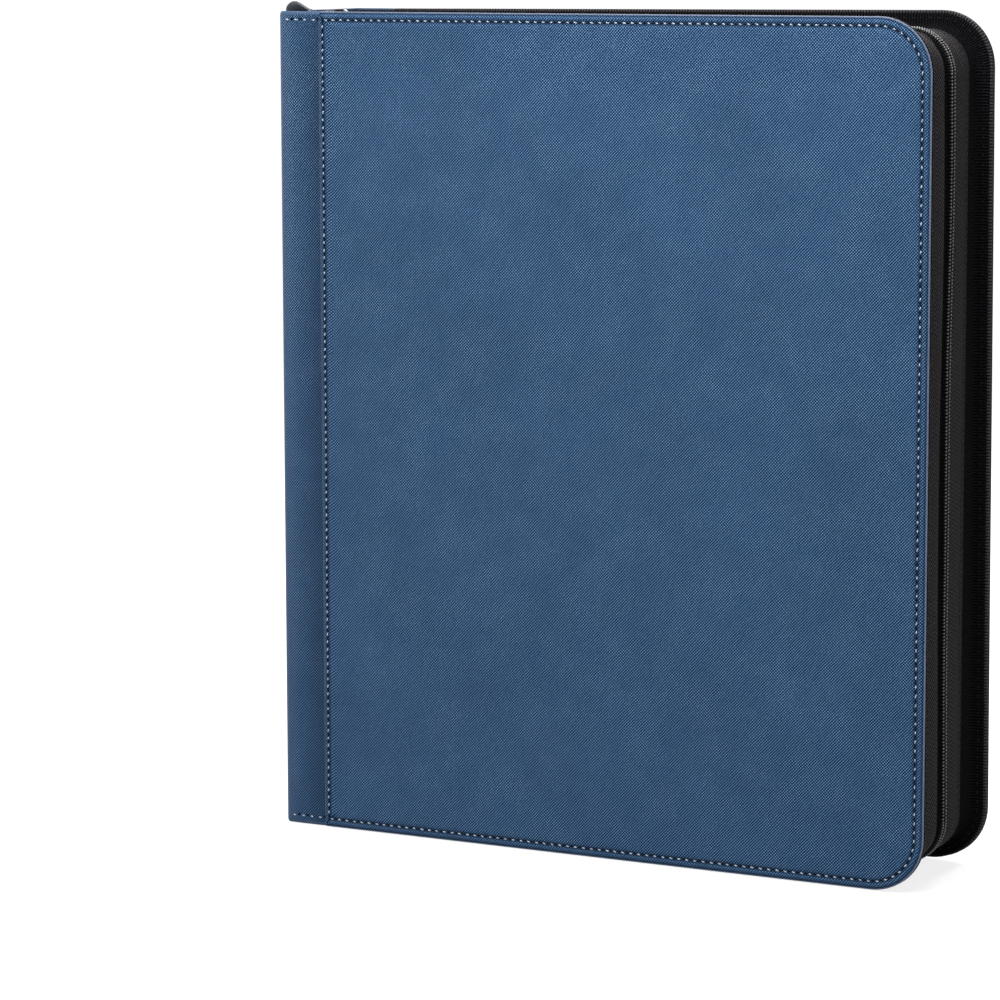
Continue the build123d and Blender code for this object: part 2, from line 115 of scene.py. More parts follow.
# ---- sizes of the details that the frame doesn't hold ----
corner_radius = 24.0
fold_radius = 1.0
wall_thickness = 1.2
foot_thickness = 1.0
foot_seam = 3.4
wrap_thickness = 0.8
wrap_roll = 2.2
wrap_crown = 0.45
rim_width = 1.2
cover_tilt = 0.0048
stitch_inset = 3.8
seam_inset = 2.2
stitch_pitch = 3.9
fold_pitch = 3.4
end_pitch = 3.6
stitch_length = 1.35
stitch_radius = 0.33
hole_radius = 0.72
tooth_pitch = 1.48
# Width of the painted channel shadow on the zip tape, as a UV distance.
channel_shade_width = 7.9
bead_inset = 5.6
bead_reach = 1.5
bead_radius = 0.66
arc_steps = 14
random.seed(11)


# ---- materials ----
class Shade:
    """A node material under construction."""

    def __init__(self, name, **settings):
        self.material = bpy.data.materials.new(name)
        self.material.use_nodes = True
        self.tree = self.material.node_tree
        self.shader = self.tree.nodes["Principled BSDF"]
        for key, value in settings.items():
            self.shader.inputs[key.replace("_", " ")].default_value = value

    def node(self, kind, values=None, **settings):
        made = self.tree.nodes.new(kind)
        for key, value in settings.items():
            setattr(made, key, value)
        for key, value in (values or {}).items():
            if isinstance(value, bpy.types.NodeSocket):
                self.tree.links.new(value, made.inputs[key])
            else:
                made.inputs[key].default_value = value
        return made

    def calc(self, operation, first, second=0.0, third=0.0):
        made = self.node("ShaderNodeMath", {0: first, 1: second, 2: third}, operation=operation)
        return made.outputs[0]

    def wave(self, value, period):
        """Sine of a length in millimetres, from -1 to 1."""
        return self.calc("SINE", self.calc("MULTIPLY", value, 2 * math.pi / period))

    def axes(self, flat=True):
        """Lengths along the surface in millimetres, from the UV map or from the object."""
        source = self.node("ShaderNodeTexCoord").outputs["UV" if flat else "Object"]
        parts = self.node("ShaderNodeSeparateXYZ", {0: source}).outputs
        scale = 1.0 if flat else 1 / MM
        return [self.calc("MULTIPLY", part, scale) for part in parts]

    def noise(self, scale, detail=3.0, flat=True):
        """Noise from 0 to 1; scale is in bumps per millimetre."""
        source = self.node("ShaderNodeTexCoord").outputs["UV" if flat else "Object"]
        factor = scale if flat else scale / MM
        values = {"Vector": source, "Scale": factor, "Detail": detail, "Roughness": 0.5}
        return self.node("ShaderNodeTexNoise", values).outputs["Fac"]

    def ramp(self, factor, stops):
        made = self.node("ShaderNodeValToRGB", {"Fac": factor})
        elements = made.color_ramp.elements
        while len(elements) < len(stops):
            elements.new(0.5)
        for element, (place, colour) in zip(elements, stops):
            element.position = place
            element.color = (*colour, 1.0)
        return made.outputs["Color"]

    def mix(self, factor, first, second, blend="MIX"):
        made = self.node("ShaderNodeMix", data_type="RGBA", blend_type=blend)
        for key, value in ((0, factor), (6, first), (7, second)):
            if isinstance(value, bpy.types.NodeSocket):
                self.tree.links.new(value, made.inputs[key])
            elif key == 0:
                made.inputs[key].default_value = value
            else:
                made.inputs[key].default_value = (*value, 1.0)
        return made.outputs[2]

    def span(self, value, low, high, to_low=0.0, to_high=1.0):
        values = {0: value, 1: low, 2: high, 3: to_low, 4: to_high}
        return self.node("ShaderNodeMapRange", values).outputs[0]

    def tone(self, value, low, high, dark, light):
        """Colour from dark to light as a value goes from low to high."""
        return self.ramp(self.span(value, low, high), [(0.0, dark), (1.0, light)])

    def finish(self, colour=None, rough=None, bump=None, depth=0.1):
        """Link what varies over the surface; depth is the bump's height in millimetres."""
        inputs = self.shader.inputs
        for key, value in (("Base Color", colour), ("Roughness", rough)):
            if value is not None:
                self.tree.links.new(value, inputs[key])
        if bump is not None:
            values = {"Height": bump, "Distance": depth * MM, "Strength": 1.0}
            made = self.node("ShaderNodeBump", values)
            self.tree.links.new(made.outputs["Normal"], inputs["Normal"])
        return self.material


def leather_material():
    """Blue synthetic leather: two crossing diagonal ridges, one stronger than the other.
    They fade on rolled edges, where the colour is painted paler as a highlight; creases and
    the stitched groove are painted darker as shade."""
    shade = Shade("blue_leather", Specular_IOR_Level=0.06)
    u, v, _ = shade.axes()
    # This attribute holds painted light: above 0 a painted highlight on rolled edges, below 0 painted shade
    # in creases and the stitched groove.
    painted_light = shade.node("ShaderNodeAttribute", attribute_name="painted_light").outputs["Fac"]
    wander = shade.calc("MULTIPLY", shade.noise(0.35, 2.0), 0.5)
    rising = shade.wave(shade.calc("ADD", shade.calc("SUBTRACT", u, v), wander), 1.347)
    falling = shade.wave(shade.calc("ADD", shade.calc("ADD", u, v), wander), 1.36)
    patches = shade.span(shade.noise(0.06, 2.0), 0.35, 0.65, 0.25, 0.60)
    weave = shade.calc("MULTIPLY_ADD", falling, patches, shade.calc("MULTIPLY", rising, 0.72))
    grain = shade.noise(2.4, 2.0)
    relief = shade.calc("MULTIPLY_ADD", grain, 0.6, weave)
    # The ridges fade where the highlight is painted.
    relief = shade.calc("MULTIPLY", relief, shade.span(painted_light, 0.0, 1.0, 1.0, 0.30))
    tint = shade.span(relief, -1.10, 1.60)
    colour = shade.ramp(
        tint,
        [(0.0, (0.001, 0.006, 0.022)), (0.30, (0.003, 0.017, 0.052)), (0.52, (0.018, 0.062, 0.142)),
         (0.74, (0.080, 0.175, 0.330)), (1.0, (0.27, 0.46, 0.74))],
    )
    cloud = shade.span(shade.noise(0.02, 2.0), 0.3, 0.7, 0.94, 1.06)
    grey = shade.node("ShaderNodeCombineColor", {0: cloud, 1: cloud, 2: cloud}).outputs[0]
    colour = shade.mix(1.0, colour, grey, "MULTIPLY")
    # Painted highlight: paler colour on rolled edges.
    colour = shade.mix(shade.span(painted_light, 0.0, 1.0, 0.0, 0.80), colour, (0.185, 0.225, 0.320))
    # Painted shade: darker colour in creases and the stitched groove.
    colour = shade.mix(shade.span(painted_light, -1.0, 0.0, 0.85, 0.0), colour, (0.003, 0.010, 0.026))
    rough = shade.span(relief, -1.0, 1.5, 0.62, 0.45)
    return shade.finish(colour, rough, relief, 0.09)


def cloth_material(name, dark, light, rib, cross, depth, flat=True, specular=0.1):
    """Woven tape or cloth: ribs across the length, broken by finer threads along it."""
    shade = Shade(name, Roughness=0.8, Specular_IOR_Level=specular)
    axes = shade.axes(flat)
    along, across = axes[0], axes[1] if flat else axes[2]
    ribs = shade.wave(along, rib)
    threads = shade.wave(shade.calc("MULTIPLY_ADD", along, cross / rib * 0.5, across), cross)
    fuzz = shade.noise(1.7, 3.0, flat)
    relief = shade.calc("MULTIPLY_ADD", threads, 0.35, ribs)
    relief = shade.calc("MULTIPLY_ADD", fuzz, 0.9, relief)
    colour = shade.tone(relief, -1.0, 1.9, dark, light)
    return shade.finish(colour, None, relief, depth)


def twill_material():
    """Zip tape: chevrons of fine diagonal threads in columns, and a black strip of painted
    shadow for the deep channel beside the coil, where the UV map's v is below the width of that shadow."""
    shade = Shade("zip_tape_twill", Roughness=0.75, Specular_IOR_Level=0.04)
    u, v, _ = shade.axes()
    column = shade.calc("PINGPONG", v, 2.6)
    slant = shade.wave(shade.calc("MULTIPLY_ADD", column, 1.5, u), 1.9)
    fuzz = shade.noise(1.1, 3.0)
    relief = shade.calc("MULTIPLY_ADD", fuzz, 1.6, slant)
    colour = shade.tone(relief, 0.1, 2.2, (0.001, 0.001, 0.0012), (0.088, 0.080, 0.086))
    # Painted shadow: black where the channel beside the coil lies in shade.
    strip = shade.span(v, channel_shade_width, channel_shade_width + 0.8, 0.94, 0.0)
    colour = shade.mix(strip, colour, (0.0005, 0.0005, 0.0006))
    return shade.finish(colour, None, relief, 0.22)


def edge_material():
    """Bound edge of a cover: a black binding, painted darker still as shade in the groove next to the
    leather, then pale ends of woven ribs.
    """
    shade = Shade("edge_binding", Roughness=0.6, Specular_IOR_Level=0.04)
    u, v, _ = shade.axes()
    relief = shade.calc("MULTIPLY_ADD", shade.noise(1.7, 3.0), 0.9, shade.wave(u, 1.4))
    colour = shade.tone(relief, -0.6, 1.9, (0.001, 0.001, 0.0015), (0.085, 0.078, 0.088))
    # Painted shade: near black over the groove beside the leather.
    colour = shade.mix(shade.span(v, 2.2, 3.0, 0.94, 0.0), colour, (0.0005, 0.0005, 0.0006))
    return shade.finish(colour, None, relief, 0.15)


def coil_material():
    """Black nylon coil with a painted highlight on the top of each turn's bead; the UV map runs across
    the chain and round the turn."""
    shade = Shade("nylon_coil", Roughness=0.4, Specular_IOR_Level=0.08)
    u, v, _ = shade.axes()
    reach = shade.calc("SUBTRACT", u, bead_reach)
    turned = shade.calc("SUBTRACT", v, 0.75 * 2 * math.pi * bead_radius)
    square = shade.calc("MULTIPLY_ADD", turned, turned, shade.calc("MULTIPLY", reach, reach))
    # Painted highlight: a pale spot on the outward top of each bead.
    bead_highlight = shade.span(square, 0.0, 0.55, 1.0, 0.0)
    grain = shade.noise(1.5, 2.0, False)
    colour = shade.ramp(
        shade.calc("MULTIPLY", bead_highlight, shade.span(grain, 0.3, 0.7, 0.75, 1.0)),
        [(0.0, (0.0010, 0.0010, 0.0012)), (0.30, (0.008, 0.008, 0.009)), (1.0, (0.34, 0.335, 0.34))],
    )
    return shade.finish(colour, None, grain, 0.01)


def grained_material(name, dark, light, scale, rough, depth, specular=0.5, flat=False):
    """Moulded or cast surface with fine grain and slow changes of tone and gloss."""
    shade = Shade(name, Specular_IOR_Level=specular)
    grain = shade.noise(scale, 4.0, flat)
    cloud = shade.noise(scale * 0.06, 2.0, flat)
    blend = shade.calc("MULTIPLY_ADD", grain, 0.6, shade.calc("MULTIPLY", cloud, 0.4))
    colour = shade.tone(blend, 0.3, 0.7, dark, light)
    gloss = shade.span(blend, 0.3, 0.7, rough - 0.08, rough + 0.08)
    return shade.finish(colour, gloss, grain, depth)


def thread_material(name, dark, light):
    """Twisted sewing thread; the UV map runs along each stitch."""
    shade = Shade(name, Roughness=0.6, Specular_IOR_Level=0.1)
    u, v, _ = shade.axes()
    ply = shade.wave(shade.calc("ADD", u, v), 0.5)
    colour = shade.tone(ply, -1.0, 1.0, dark, light)
    return shade.finish(colour, None, ply, 0.05)


def film_material():
    """Black page film with a fine crosshatched grain."""
    shade = Shade("page_film_grain", Specular_IOR_Level=0.5)
    x, _, z = shade.axes(False)
    rising, falling = (shade.wave(shade.calc(sign, x, z), 1.0) for sign in ("ADD", "SUBTRACT"))
    hatch = shade.calc("MULTIPLY", rising, falling)
    relief = shade.calc("MULTIPLY_ADD", shade.noise(1.5, 2.0, False), 0.8, hatch)
    colour = shade.tone(relief, -0.8, 1.6, (0.022, 0.022, 0.024), (0.060, 0.060, 0.064))
    return shade.finish(colour, shade.span(relief, -1, 1.8, 0.62, 0.45), relief, 0.05)


def clear_material(name, tint, alpha, rough, ripple):
    """Clear plastic that lets most light through, with soft ripples in its gloss."""
    shade = Shade(name, Alpha=alpha, Roughness=rough, Specular_IOR_Level=0.8)
    cloud = shade.noise(0.08, 2.0, False)
    darker = tuple(c * 0.85 for c in tint)
    colour = shade.tone(cloud, 0.3, 0.7, darker, tint)
    return shade.finish(colour, None, cloud, ripple)


def card_material():
    """Made-up cards: a dark border, a picture of drifting colour and a plain text panel.
    The UV map holds the card's number in its whole part and the place on it in the rest."""
    shade = Shade("card_faces", Roughness=0.35)
    u, v, _ = shade.axes()
    cell = [shade.calc("FLOOR", value) for value in (u, v)]
    across, up = (shade.calc("FRACT", value) for value in (u, v))
    key = shade.node("ShaderNodeCombineXYZ", {0: cell[0], 1: cell[1], 2: 3.7}).outputs[0]
    dice = shade.node("ShaderNodeTexWhiteNoise", {"Vector": key}, noise_dimensions="3D")
    hue = dice.outputs["Value"]
    rolls = shade.node("ShaderNodeSeparateColor", {0: dice.outputs["Color"]}).outputs

    def within(value, low, high):
        above = shade.calc("GREATER_THAN", value, low)
        return shade.calc("MULTIPLY", above, shade.calc("LESS_THAN", value, high))

    def area(left, right, bottom, top):
        return shade.calc("MULTIPLY", within(across, left, right), within(up, bottom, top))

    def paint(shift, saturation, value):
        turned = shade.calc("FRACT", shade.calc("ADD", hue, shift))
        values = {0: turned, 1: saturation, 2: value}
        return shade.node("ShaderNodeCombineColor", values, mode="HSV").outputs[0]

    place = shade.node("ShaderNodeCombineXYZ", {0: u, 1: v, 2: hue}).outputs[0]
    values = {"Vector": place, "Scale": 3.2, "Detail": 4.0, "Distortion": 1.6}
    swirl = shade.node("ShaderNodeTexNoise", values)
    sparks = shade.node("ShaderNodeTexVoronoi", {"Vector": place, "Scale": 9.0})
    drift = shade.span(swirl.outputs["Fac"], 0.35, 0.65)
    art = shade.mix(drift, paint(0.0, 0.85, 0.30), paint(0.45, 0.75, 0.75))
    glow = shade.span(sparks.outputs["Distance"], 0.0, 0.35, 1.0, 0.0)
    art = shade.mix(shade.calc("MULTIPLY", glow, 0.55), art, paint(0.12, 0.25, 0.95))
    row = shade.calc("MULTIPLY", up, 26.0)
    row_key = shade.node("ShaderNodeCombineXYZ", {0: shade.calc("FLOOR", row), 1: hue}).outputs[0]
    row_end = shade.node("ShaderNodeTexWhiteNoise", {"Vector": row_key}).outputs["Value"]
    lines = within(shade.calc("FRACT", row), 0.3, 0.62)
    lines = shade.calc("MULTIPLY", lines, area(0.14, 0.86, 0.12, 0.40))
    begun = shade.calc("LESS_THAN", across, shade.span(row_end, 0, 1, 0.55, 0.95))
    lines = shade.calc("MULTIPLY", lines, begun)
    panel = shade.mix(rolls[0], (0.62, 0.60, 0.55), paint(0.05, 0.35, 0.32))
    panel = shade.mix(shade.calc("MULTIPLY", lines, 0.65), panel, (0.03, 0.03, 0.04))
    face = shade.mix(area(0.06, 0.94, 0.045, 0.96), (0.008, 0.008, 0.010), paint(0.08, 0.55, 0.22))
    face = shade.mix(area(0.09, 0.91, 0.475, 0.885), face, art)
    face = shade.mix(area(0.08, 0.92, 0.905, 0.945), face, paint(0.1, 0.25, 0.55))
    face = shade.mix(area(0.08, 0.92, 0.425, 0.462), face, paint(0.1, 0.3, 0.50))
    face = shade.mix(area(0.09, 0.91, 0.09, 0.412), face, panel)
    return shade.finish(face, None, swirl.outputs["Fac"], 0.02)


LEATHER = leather_material()
WEBBING = cloth_material(
    "black_grosgrain", (0.0003, 0.0003, 0.0004), (0.015, 0.0145, 0.0165), 1.3, 0.9, 0.25, specular=0.01
)
TWILL = twill_material()
LINING = cloth_material("lining_weave", (0.006, 0.006, 0.007), (0.022, 0.022, 0.025), 0.7, 0.7, 0.05, False)
BINDING = cloth_material("binding_weave", (0.008, 0.008, 0.009), (0.03, 0.03, 0.032), 1.0, 0.8, 0.1, False)
EDGE = edge_material()
COIL = coil_material()
COIL_BAND = grained_material("nylon_band", (0.003, 0.003, 0.003), (0.010, 0.010, 0.010), 2.0, 0.3, 0.02, 0.2)
METAL = grained_material("black_enamel", (0.006, 0.006, 0.007), (0.018, 0.018, 0.020), 1.2, 0.32, 0.01, 0.5)
RUBBER = grained_material("pull_rubber", (0.022, 0.025, 0.034), (0.042, 0.047, 0.062), 3.0, 0.5, 0.03)
BOARD = grained_material("grey_board", (0.14, 0.125, 0.105), (0.23, 0.21, 0.18), 1.5, 0.85, 0.06, 0.3)
FILM = film_material()
POCKET = clear_material("pocket_clear", (0.75, 0.75, 0.80), 0.10, 0.12, 0.15)
SLEEVE = clear_material("sleeve_vinyl", (0.36, 0.35, 0.44), 0.80, 0.28, 0.05)
CARDS = card_material()
THREAD = thread_material("pale_thread", (0.34, 0.44, 0.60), (0.78, 0.86, 0.96))
DARK_THREAD = thread_material("black_thread", (0.002, 0.002, 0.0025), (0.016, 0.015, 0.017))
# Painted shade: the dark of the needle holes' insides.
HOLE_SHADE = grained_material("needle_hole", (0.0015, 0.003, 0.009), (0.004, 0.007, 0.018), 2.0, 0.9, 0.01, 0.1)


# ---- mesh helpers ----
def ease(value):
    """Smooth step from 0 to 1."""
    share = max(0.0, min(1.0, value))
    return share * share * (3 - 2 * share)


def quarter(start, steps):
    """Angles of a quarter turn from start, both ends included."""
    return [start + QUARTER * i / steps for i in range(steps + 1)]


class Shell:
    """Gathers the points, in millimetres, and the faces of one piece."""

    def __init__(self):
        self.verts, self.uvs, self.faces = [], [], []

    def row(self, points):
        """Add points given as (x, y, z, u, v) and return their numbers."""
        start = len(self.verts)
        for x, y, z, u, v in points:
            self.verts.append((x, y, z))
            self.uvs.append((u, v))
        return list(range(start, len(self.verts)))

    def ring(self, centre, across, out, sides, u, unit):
        """Add a round row of points; unit is the radius that the UV map is made for."""
        points = []
        for i in range(sides):
            angle = 2 * math.pi * i / sides
            place = centre + across * math.cos(angle) + out * math.sin(angle)
            points.append((*place, u, unit * angle))
        return self.row(points)

    def join(self, first, second, closed=False):
        """Quads between two rows of the same length."""
        count = len(first)
        for i in range(count if closed else count - 1):
            k = (i + 1) % count
            self.faces.append((first[i], first[k], second[k], second[i]))

    def cap(self, row):
        """One face over a whole row."""
        self.faces.append(tuple(row))

    def wrap(self, rows):
        """Join closed rows one after another."""
        for first, second in zip(rows, rows[1:]):
            self.join(first, second, closed=True)

    def tube(self, rows, flip=False):
        """Join closed rows one after another and cap both ends."""
        self.wrap(rows)
        self.cap(rows[0][::-1] if flip else rows[0])
        self.cap(rows[-1] if flip else rows[-1][::-1])

    def build(self, name, material, slot, degrees=35.0):
        """The piece, smooth except for edges that turn by more than degrees."""
        mesh = bpy.data.meshes.new(name)
        mesh.from_pydata([[c * MM for c in vert] for vert in self.verts], [], self.faces)
        mesh.validate()
        layer = mesh.uv_layers.new(name="UVMap")
        for loop in mesh.loops:
            layer.data[loop.index].uv = self.uvs[loop.vertex_index]
        mesh.materials.append(material)
        for polygon in mesh.polygons:
            polygon.use_smooth = True
        made = bpy.data.objects.new(name, mesh)
        bpy.context.scene.collection.objects.link(made)
        work = bmesh.new()
        work.from_mesh(mesh)
        bmesh.ops.recalc_face_normals(work, faces=work.faces)
        work.to_mesh(mesh)
        work.free()
        mesh.set_sharp_from_angle(angle=math.radians(degrees))
        return made


# ---- outlines ----
def rail_path(left, step=5.0):
    """Stations round the three free edges of a cover, from the bottom to the top of the
    spine side: (x, z, inward x, inward z, length so far)."""
    far = half_width - corner_radius
    edges = (
        (-QUARTER, (left, 0), (far, 0)),
        (0.0, (half_width, corner_radius), (half_width, height - corner_radius)),
        (QUARTER, (far, height), (left, height)),
    )
    stations = []
    run = 0.0
    for angle, start, end in edges:
        start, end = Vector(start), Vector(end)
        out = Vector((math.cos(angle), math.sin(angle)))
        length = (end - start).length
        count = max(2, round(length / step))
        for i in range(count):
            stations.append((*start.lerp(end, i / count), *-out, run + length * i / count))
        run += length
        if angle < QUARTER:
            centre = end - out * corner_radius
            for i in range(arc_steps):
                turned = QUARTER * i / arc_steps
                out = Vector((math.cos(angle + turned), math.sin(angle + turned)))
                stations.append((*(centre + out * corner_radius), *-out, run + corner_radius * turned))
            run += corner_radius * QUARTER
    stations.append((left, height, 0, -1, run))
    return stations


def rail_point(stations, length):
    """Place in X and Z and inward direction at a length on the rail path."""
    for first, second in zip(stations, stations[1:]):
        if length <= second[4] + 1e-6:
            share = (length - first[4]) / max(second[4] - first[4], 1e-9)
            x, z, in_x, in_z = (a + (b - a) * share for a, b in zip(first[:4], second[:4]))
            return x, z, Vector((in_x, 0, in_z)).normalized()


def rail(name, side, left, profile, material, slot, step=5.0, degrees=35.0):
    """A strip along the rail path. profile(length, total) gives closed (inset, y, v)."""
    stations = rail_path(left, step)
    total = stations[-1][4]
    shell = Shell()
    rows = []
    for x, z, in_x, in_z, length in stations:
        points = []
        for inset, y, v in profile(length, total):
            points.append((x + in_x * inset, side * y, z + in_z * inset, length, v))
        rows.append(shell.row(points))
    shell.tube(rows)
    made = shell.build(name, material, slot, degrees)
    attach(made, f"{SIDES[side]}_cover")
    return made


def panel_loop(inset):
    """Closed outline of the cover panel: (x, z, outward x, outward z, is on the fold)."""
    points = []
    for start, sign_z, at_fold in ((-1, -1, False), (0, 1, False), (1, 1, True), (2, -1, True)):
        full, steps = (fold_radius, 4) if at_fold else (corner_radius, arc_steps)
        radius = max(full - inset, 0.05)
        centre_x = fold_x + inset + radius if at_fold else half_width - inset - radius
        centre_z = mid_height + sign_z * (mid_height - inset - radius)
        for angle in quarter(start * QUARTER, steps):
            out = Vector((math.cos(angle), math.sin(angle)))
            on_fold = at_fold and out.x < -0.72
            points.append((centre_x + out.x * radius, centre_z + out.y * radius, out.x, out.y, on_fold))
    return points


# ---- covers ----
# Inset from the edge and depth below the outer face, from the middle of the panel
# outwards over the stitched groove and the padded rim to the turned-in edge.
PANEL_PROFILE = [
    (7.0, 0.0), (5.9, 0.03), (5.2, 0.14), (4.5, 0.38), (3.8, 0.60), (3.1, 0.50), (2.6, 0.26),
    (2.0, 0.22), (1.5, 0.36), (1.1, 0.70), (0.7, 0.86), (0.45, 0.78), (0.1, 0.95), (0.0, 1.4),
]
SKIN_TURN = [(0.05, 1.58), (0.5, 1.65), (1.2, 1.65)]
rim_start = PANEL_PROFILE[0][0]
strip_dip = 0.45
leather_edge = {-1: 1.65, 1: 0.75}


def seam_line(out_x):
    """Inset of the stitching on an edge whose outward direction has the X share out_x."""
    fold = stitch_inset - seam_inset
    return stitch_inset + (0.2 * out_x if out_x > 0 else fold * out_x)


def settle(made, side):
    """The back cover's outside sits slightly turned on its board: a little higher at the
    fore-edge and further out towards the bottom.  The wall's upright band stays straight."""
    if side > 0:
        for vertex in made.data.vertices:
            x, y, z = vertex.co / MM
            turned = cover_tilt * ease((y - tape_edge) / (inside_face - 2.0 - tape_edge))
            vertex.co = Vector((x + (height - z) * turned, y, z + (x - fold_x) * turned)) * MM


def store_painted_light(made, values):
    """Store the painted light of each point: 1 for a painted highlight on a pale rolled edge, below 0 for
    painted shade in a crease.
    """
    layer = made.data.attributes.new("painted_light", "FLOAT", "POINT")
    for item, value in zip(layer.data, values):
        item.value = value


def rim_painted_light(inset):
    """Painted light across the rim: a painted highlight on the lip, painted shade in the crease inside it
    and in the stitched groove.
    """
    if inset < 0.5:
        return 1.0
    return -0.75 if 0.55 < inset < 1.2 or 3.0 < inset < 4.6 else 0.0


def cover_panel(side):
    """Leather panel: padded rim, stitched groove and a folded edge beside the spine."""
    shell = Shell()
    rows, painted_light = [], []
    run = 0.0
    last = PANEL_PROFILE[0]
    fold_depth = half_depth - wrap_face + strip_dip - 0.02
    for inset, depth in PANEL_PROFILE + SKIN_TURN:
        run += math.hypot(inset - last[0], depth - last[1])
        last = (inset, depth)
        near = min(inset / stitch_inset, (rim_start - inset) / (rim_start - stitch_inset))
        spread = run - (rim_start - inset)
        points = []
        for x, z, out_x, out_z, on_fold in panel_loop(inset):
            shift = near * (stitch_inset - seam_line(out_x))
            sunk = min(depth, fold_depth if on_fold else leather_edge[side])
            place = (x + out_x * shift, side * (half_depth - sunk), z + out_z * shift)
            points.append((*place, -side * (x + out_x * spread), z + out_z * spread))
            # Each point gets the painted highlight or painted shade of its place on the rim.
            painted_light.append(rim_painted_light(inset))
        rows.append(shell.row(points))
    floor = [(x, side * (half_depth - fold_depth), z, x, z) for x, z, *_ in panel_loop(SKIN_TURN[-1][0])]
    rows.append(shell.row(floor))
    # The turned-in floor gets the full painted highlight.
    painted_light += [1.0] * len(floor)
    shell.cap(rows[0])
    shell.wrap(rows)
    shell.cap(rows[-1][::-1])
    name = SIDES[side]
    made = shell.build(f"{name}_panel", LEATHER, "cover_leather", 50.0)
    store_painted_light(made, painted_light)
    settle(made, side)
    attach(made, f"{name}_cover")
    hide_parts(f"{name}_cover_skin")


def edge_binding(side):
    """Black inner half of the cover's edge, between the leather and the lining, parted
    from the leather by a narrow groove."""
    outer = half_depth - leather_edge[side] - 0.02
    inner = board_face - 0.42
    section = [
        (1.3, outer, 0.0), (0.5, outer, 0.8), (0.5, outer - 0.65, 1.5), (0.12, outer - 0.8, 1.9),
        (0.0, outer - 1.0, 2.1), (0.0, board_face + 0.15, 3.2), (0.2, board_face - 0.2, 3.6),
        (0.8, inner, 4.2), (4.2, inner, 7.6), (4.2, board_face + 0.02, 8.0), (1.3, board_face + 0.02, 6.9),
    ]
    name = f"{SIDES[side]}_edge_binding"
    made = rail(name, side, fold_x + 0.6, lambda length, total: section, EDGE, "lining_cloth")
    settle(made, side)


# ---- stitching ----
STITCH_RINGS = [(0.0, 0.30), (0.12, 0.78), (0.35, 1.0), (0.65, 1.0), (0.88, 0.78), (1.0, 0.30)]


def capsule(shell, start, end, radius, out, sides=6, flat=0.8):
    """One stitch: a short rounded tube from start to end, flattened along out."""
    across = (end - start).cross(out).normalized()
    length = (end - start).length
    rows = []
    for share, size in STITCH_RINGS:
        reach = radius * size
        centre = start.lerp(end, share)
        rows.append(shell.ring(centre, across * reach, out * reach * flat, sides, length * share, radius))
    shell.tube(rows, flip=True)


def hole(shell, centre, along, out):
    """A needle hole: a small slit lying in the groove, dark with painted shade for the inside of the hole.
    """
    across = along.cross(out).normalized()
    row = shell.ring(centre, across * hole_radius * 0.8, along * hole_radius * 1.25, 10, 0.0, 1.0)
    top = shell.row([(*(centre + out * 0.05), 0.0, 1.0)])[0]
    for first, second in zip(row, row[1:] + row[:1]):
        shell.faces.append((first, second, top))
    shell.cap(row[::-1])


def line_point(points, distance):
    """Point and direction at a distance along a line of points."""
    for first, second in zip(points, points[1:]):
        length = (second - first).length
        if distance <= length or second is points[-1]:
            return first.lerp(second, distance / length), (second - first).normalized()
        distance -= length


def stitch_run(threads, holes, points, out, lift=0.12, pitch=stitch_pitch):
    """Slightly slanted and uneven stitches, with a needle hole between each two."""
    total = sum((second - first).length for first, second in zip(points, points[1:]))
    count = int(total / pitch)
    pitch = total / count
    for i in range(count):
        middle = (i + 0.5) * pitch + random.uniform(-0.15, 0.15)
        reach = stitch_length / 2 * random.uniform(0.85, 1.12)
        start, along = line_point(points, middle - reach)
        end, _ = line_point(points, middle + reach)
        across = along.cross(out)
        slant = across * random.uniform(0.08, 0.24)
        capsule(threads, start + out * lift - slant, end + out * lift + slant, stitch_radius, out)
        if holes is not None:
            spot, along = line_point(points, (i + 1.0) * pitch)
            hole(holes, spot + out * 0.02 - across * 0.35, along, out)


def sewn_pieces(name, body, side, threads, holes):
    """The stitches and the needle holes of one body."""
    for shell, piece, material in ((threads, "stitching", THREAD), (holes, "needle_holes", HOLE_SHADE)):
        made = shell.build(f"{name}_{piece}", material, "cover_leather", 80.0)
        settle(made, side)
        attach(made, body)


def cover_stitches(side):
    """Pale stitching round the panel, along its folded edge and on across the strip."""
    threads, holes = Shell(), Shell()
    out = Vector((0, side, 0))
    level = side * (half_depth - 0.52)
    outline = []
    for x, z, in_x, in_z, _ in rail_path(fold_x + 2.0):
        inset = seam_line(-in_x)
        outline.append(Vector((x + in_x * inset, level, z + in_z * inset)))
    seam_x = fold_x + seam_inset
    ends = (stitch_inset, height - stitch_inset)
    seam = [Vector((seam_x, level, z)) for z in (ends[1] - 1.5, ends[0] + 1.5)]
    stitch_run(threads, holes, outline, out)
    stitch_run(threads, holes, seam, out, pitch=fold_pitch)
    for z in ends:
        start = Vector((hinge.x + 0.8, side * wrap_face, z))
        end = Vector((fold_x - 0.5, side * (wrap_face - strip_dip), z))
        stitch_run(threads, holes, [start, end], out, 0.10, end_pitch)
    sewn_pieces(SIDES[side], f"{SIDES[side]}_cover", side, threads, holes)


def spine_stitches():
    """The same stitching along both ends of the spine's flat back."""
    threads, holes = Shell(), Shell()
    for z in (stitch_inset, height - stitch_inset):
        ends = [Vector((wrap_low.x, y, z)) for y in (1.5 - hinge.y, hinge.y - 1.5)]
        stitch_run(threads, holes, ends, Vector((-1, 0, 0)), 0.10)
    sewn_pieces("spine", "spine", 0, threads, holes)


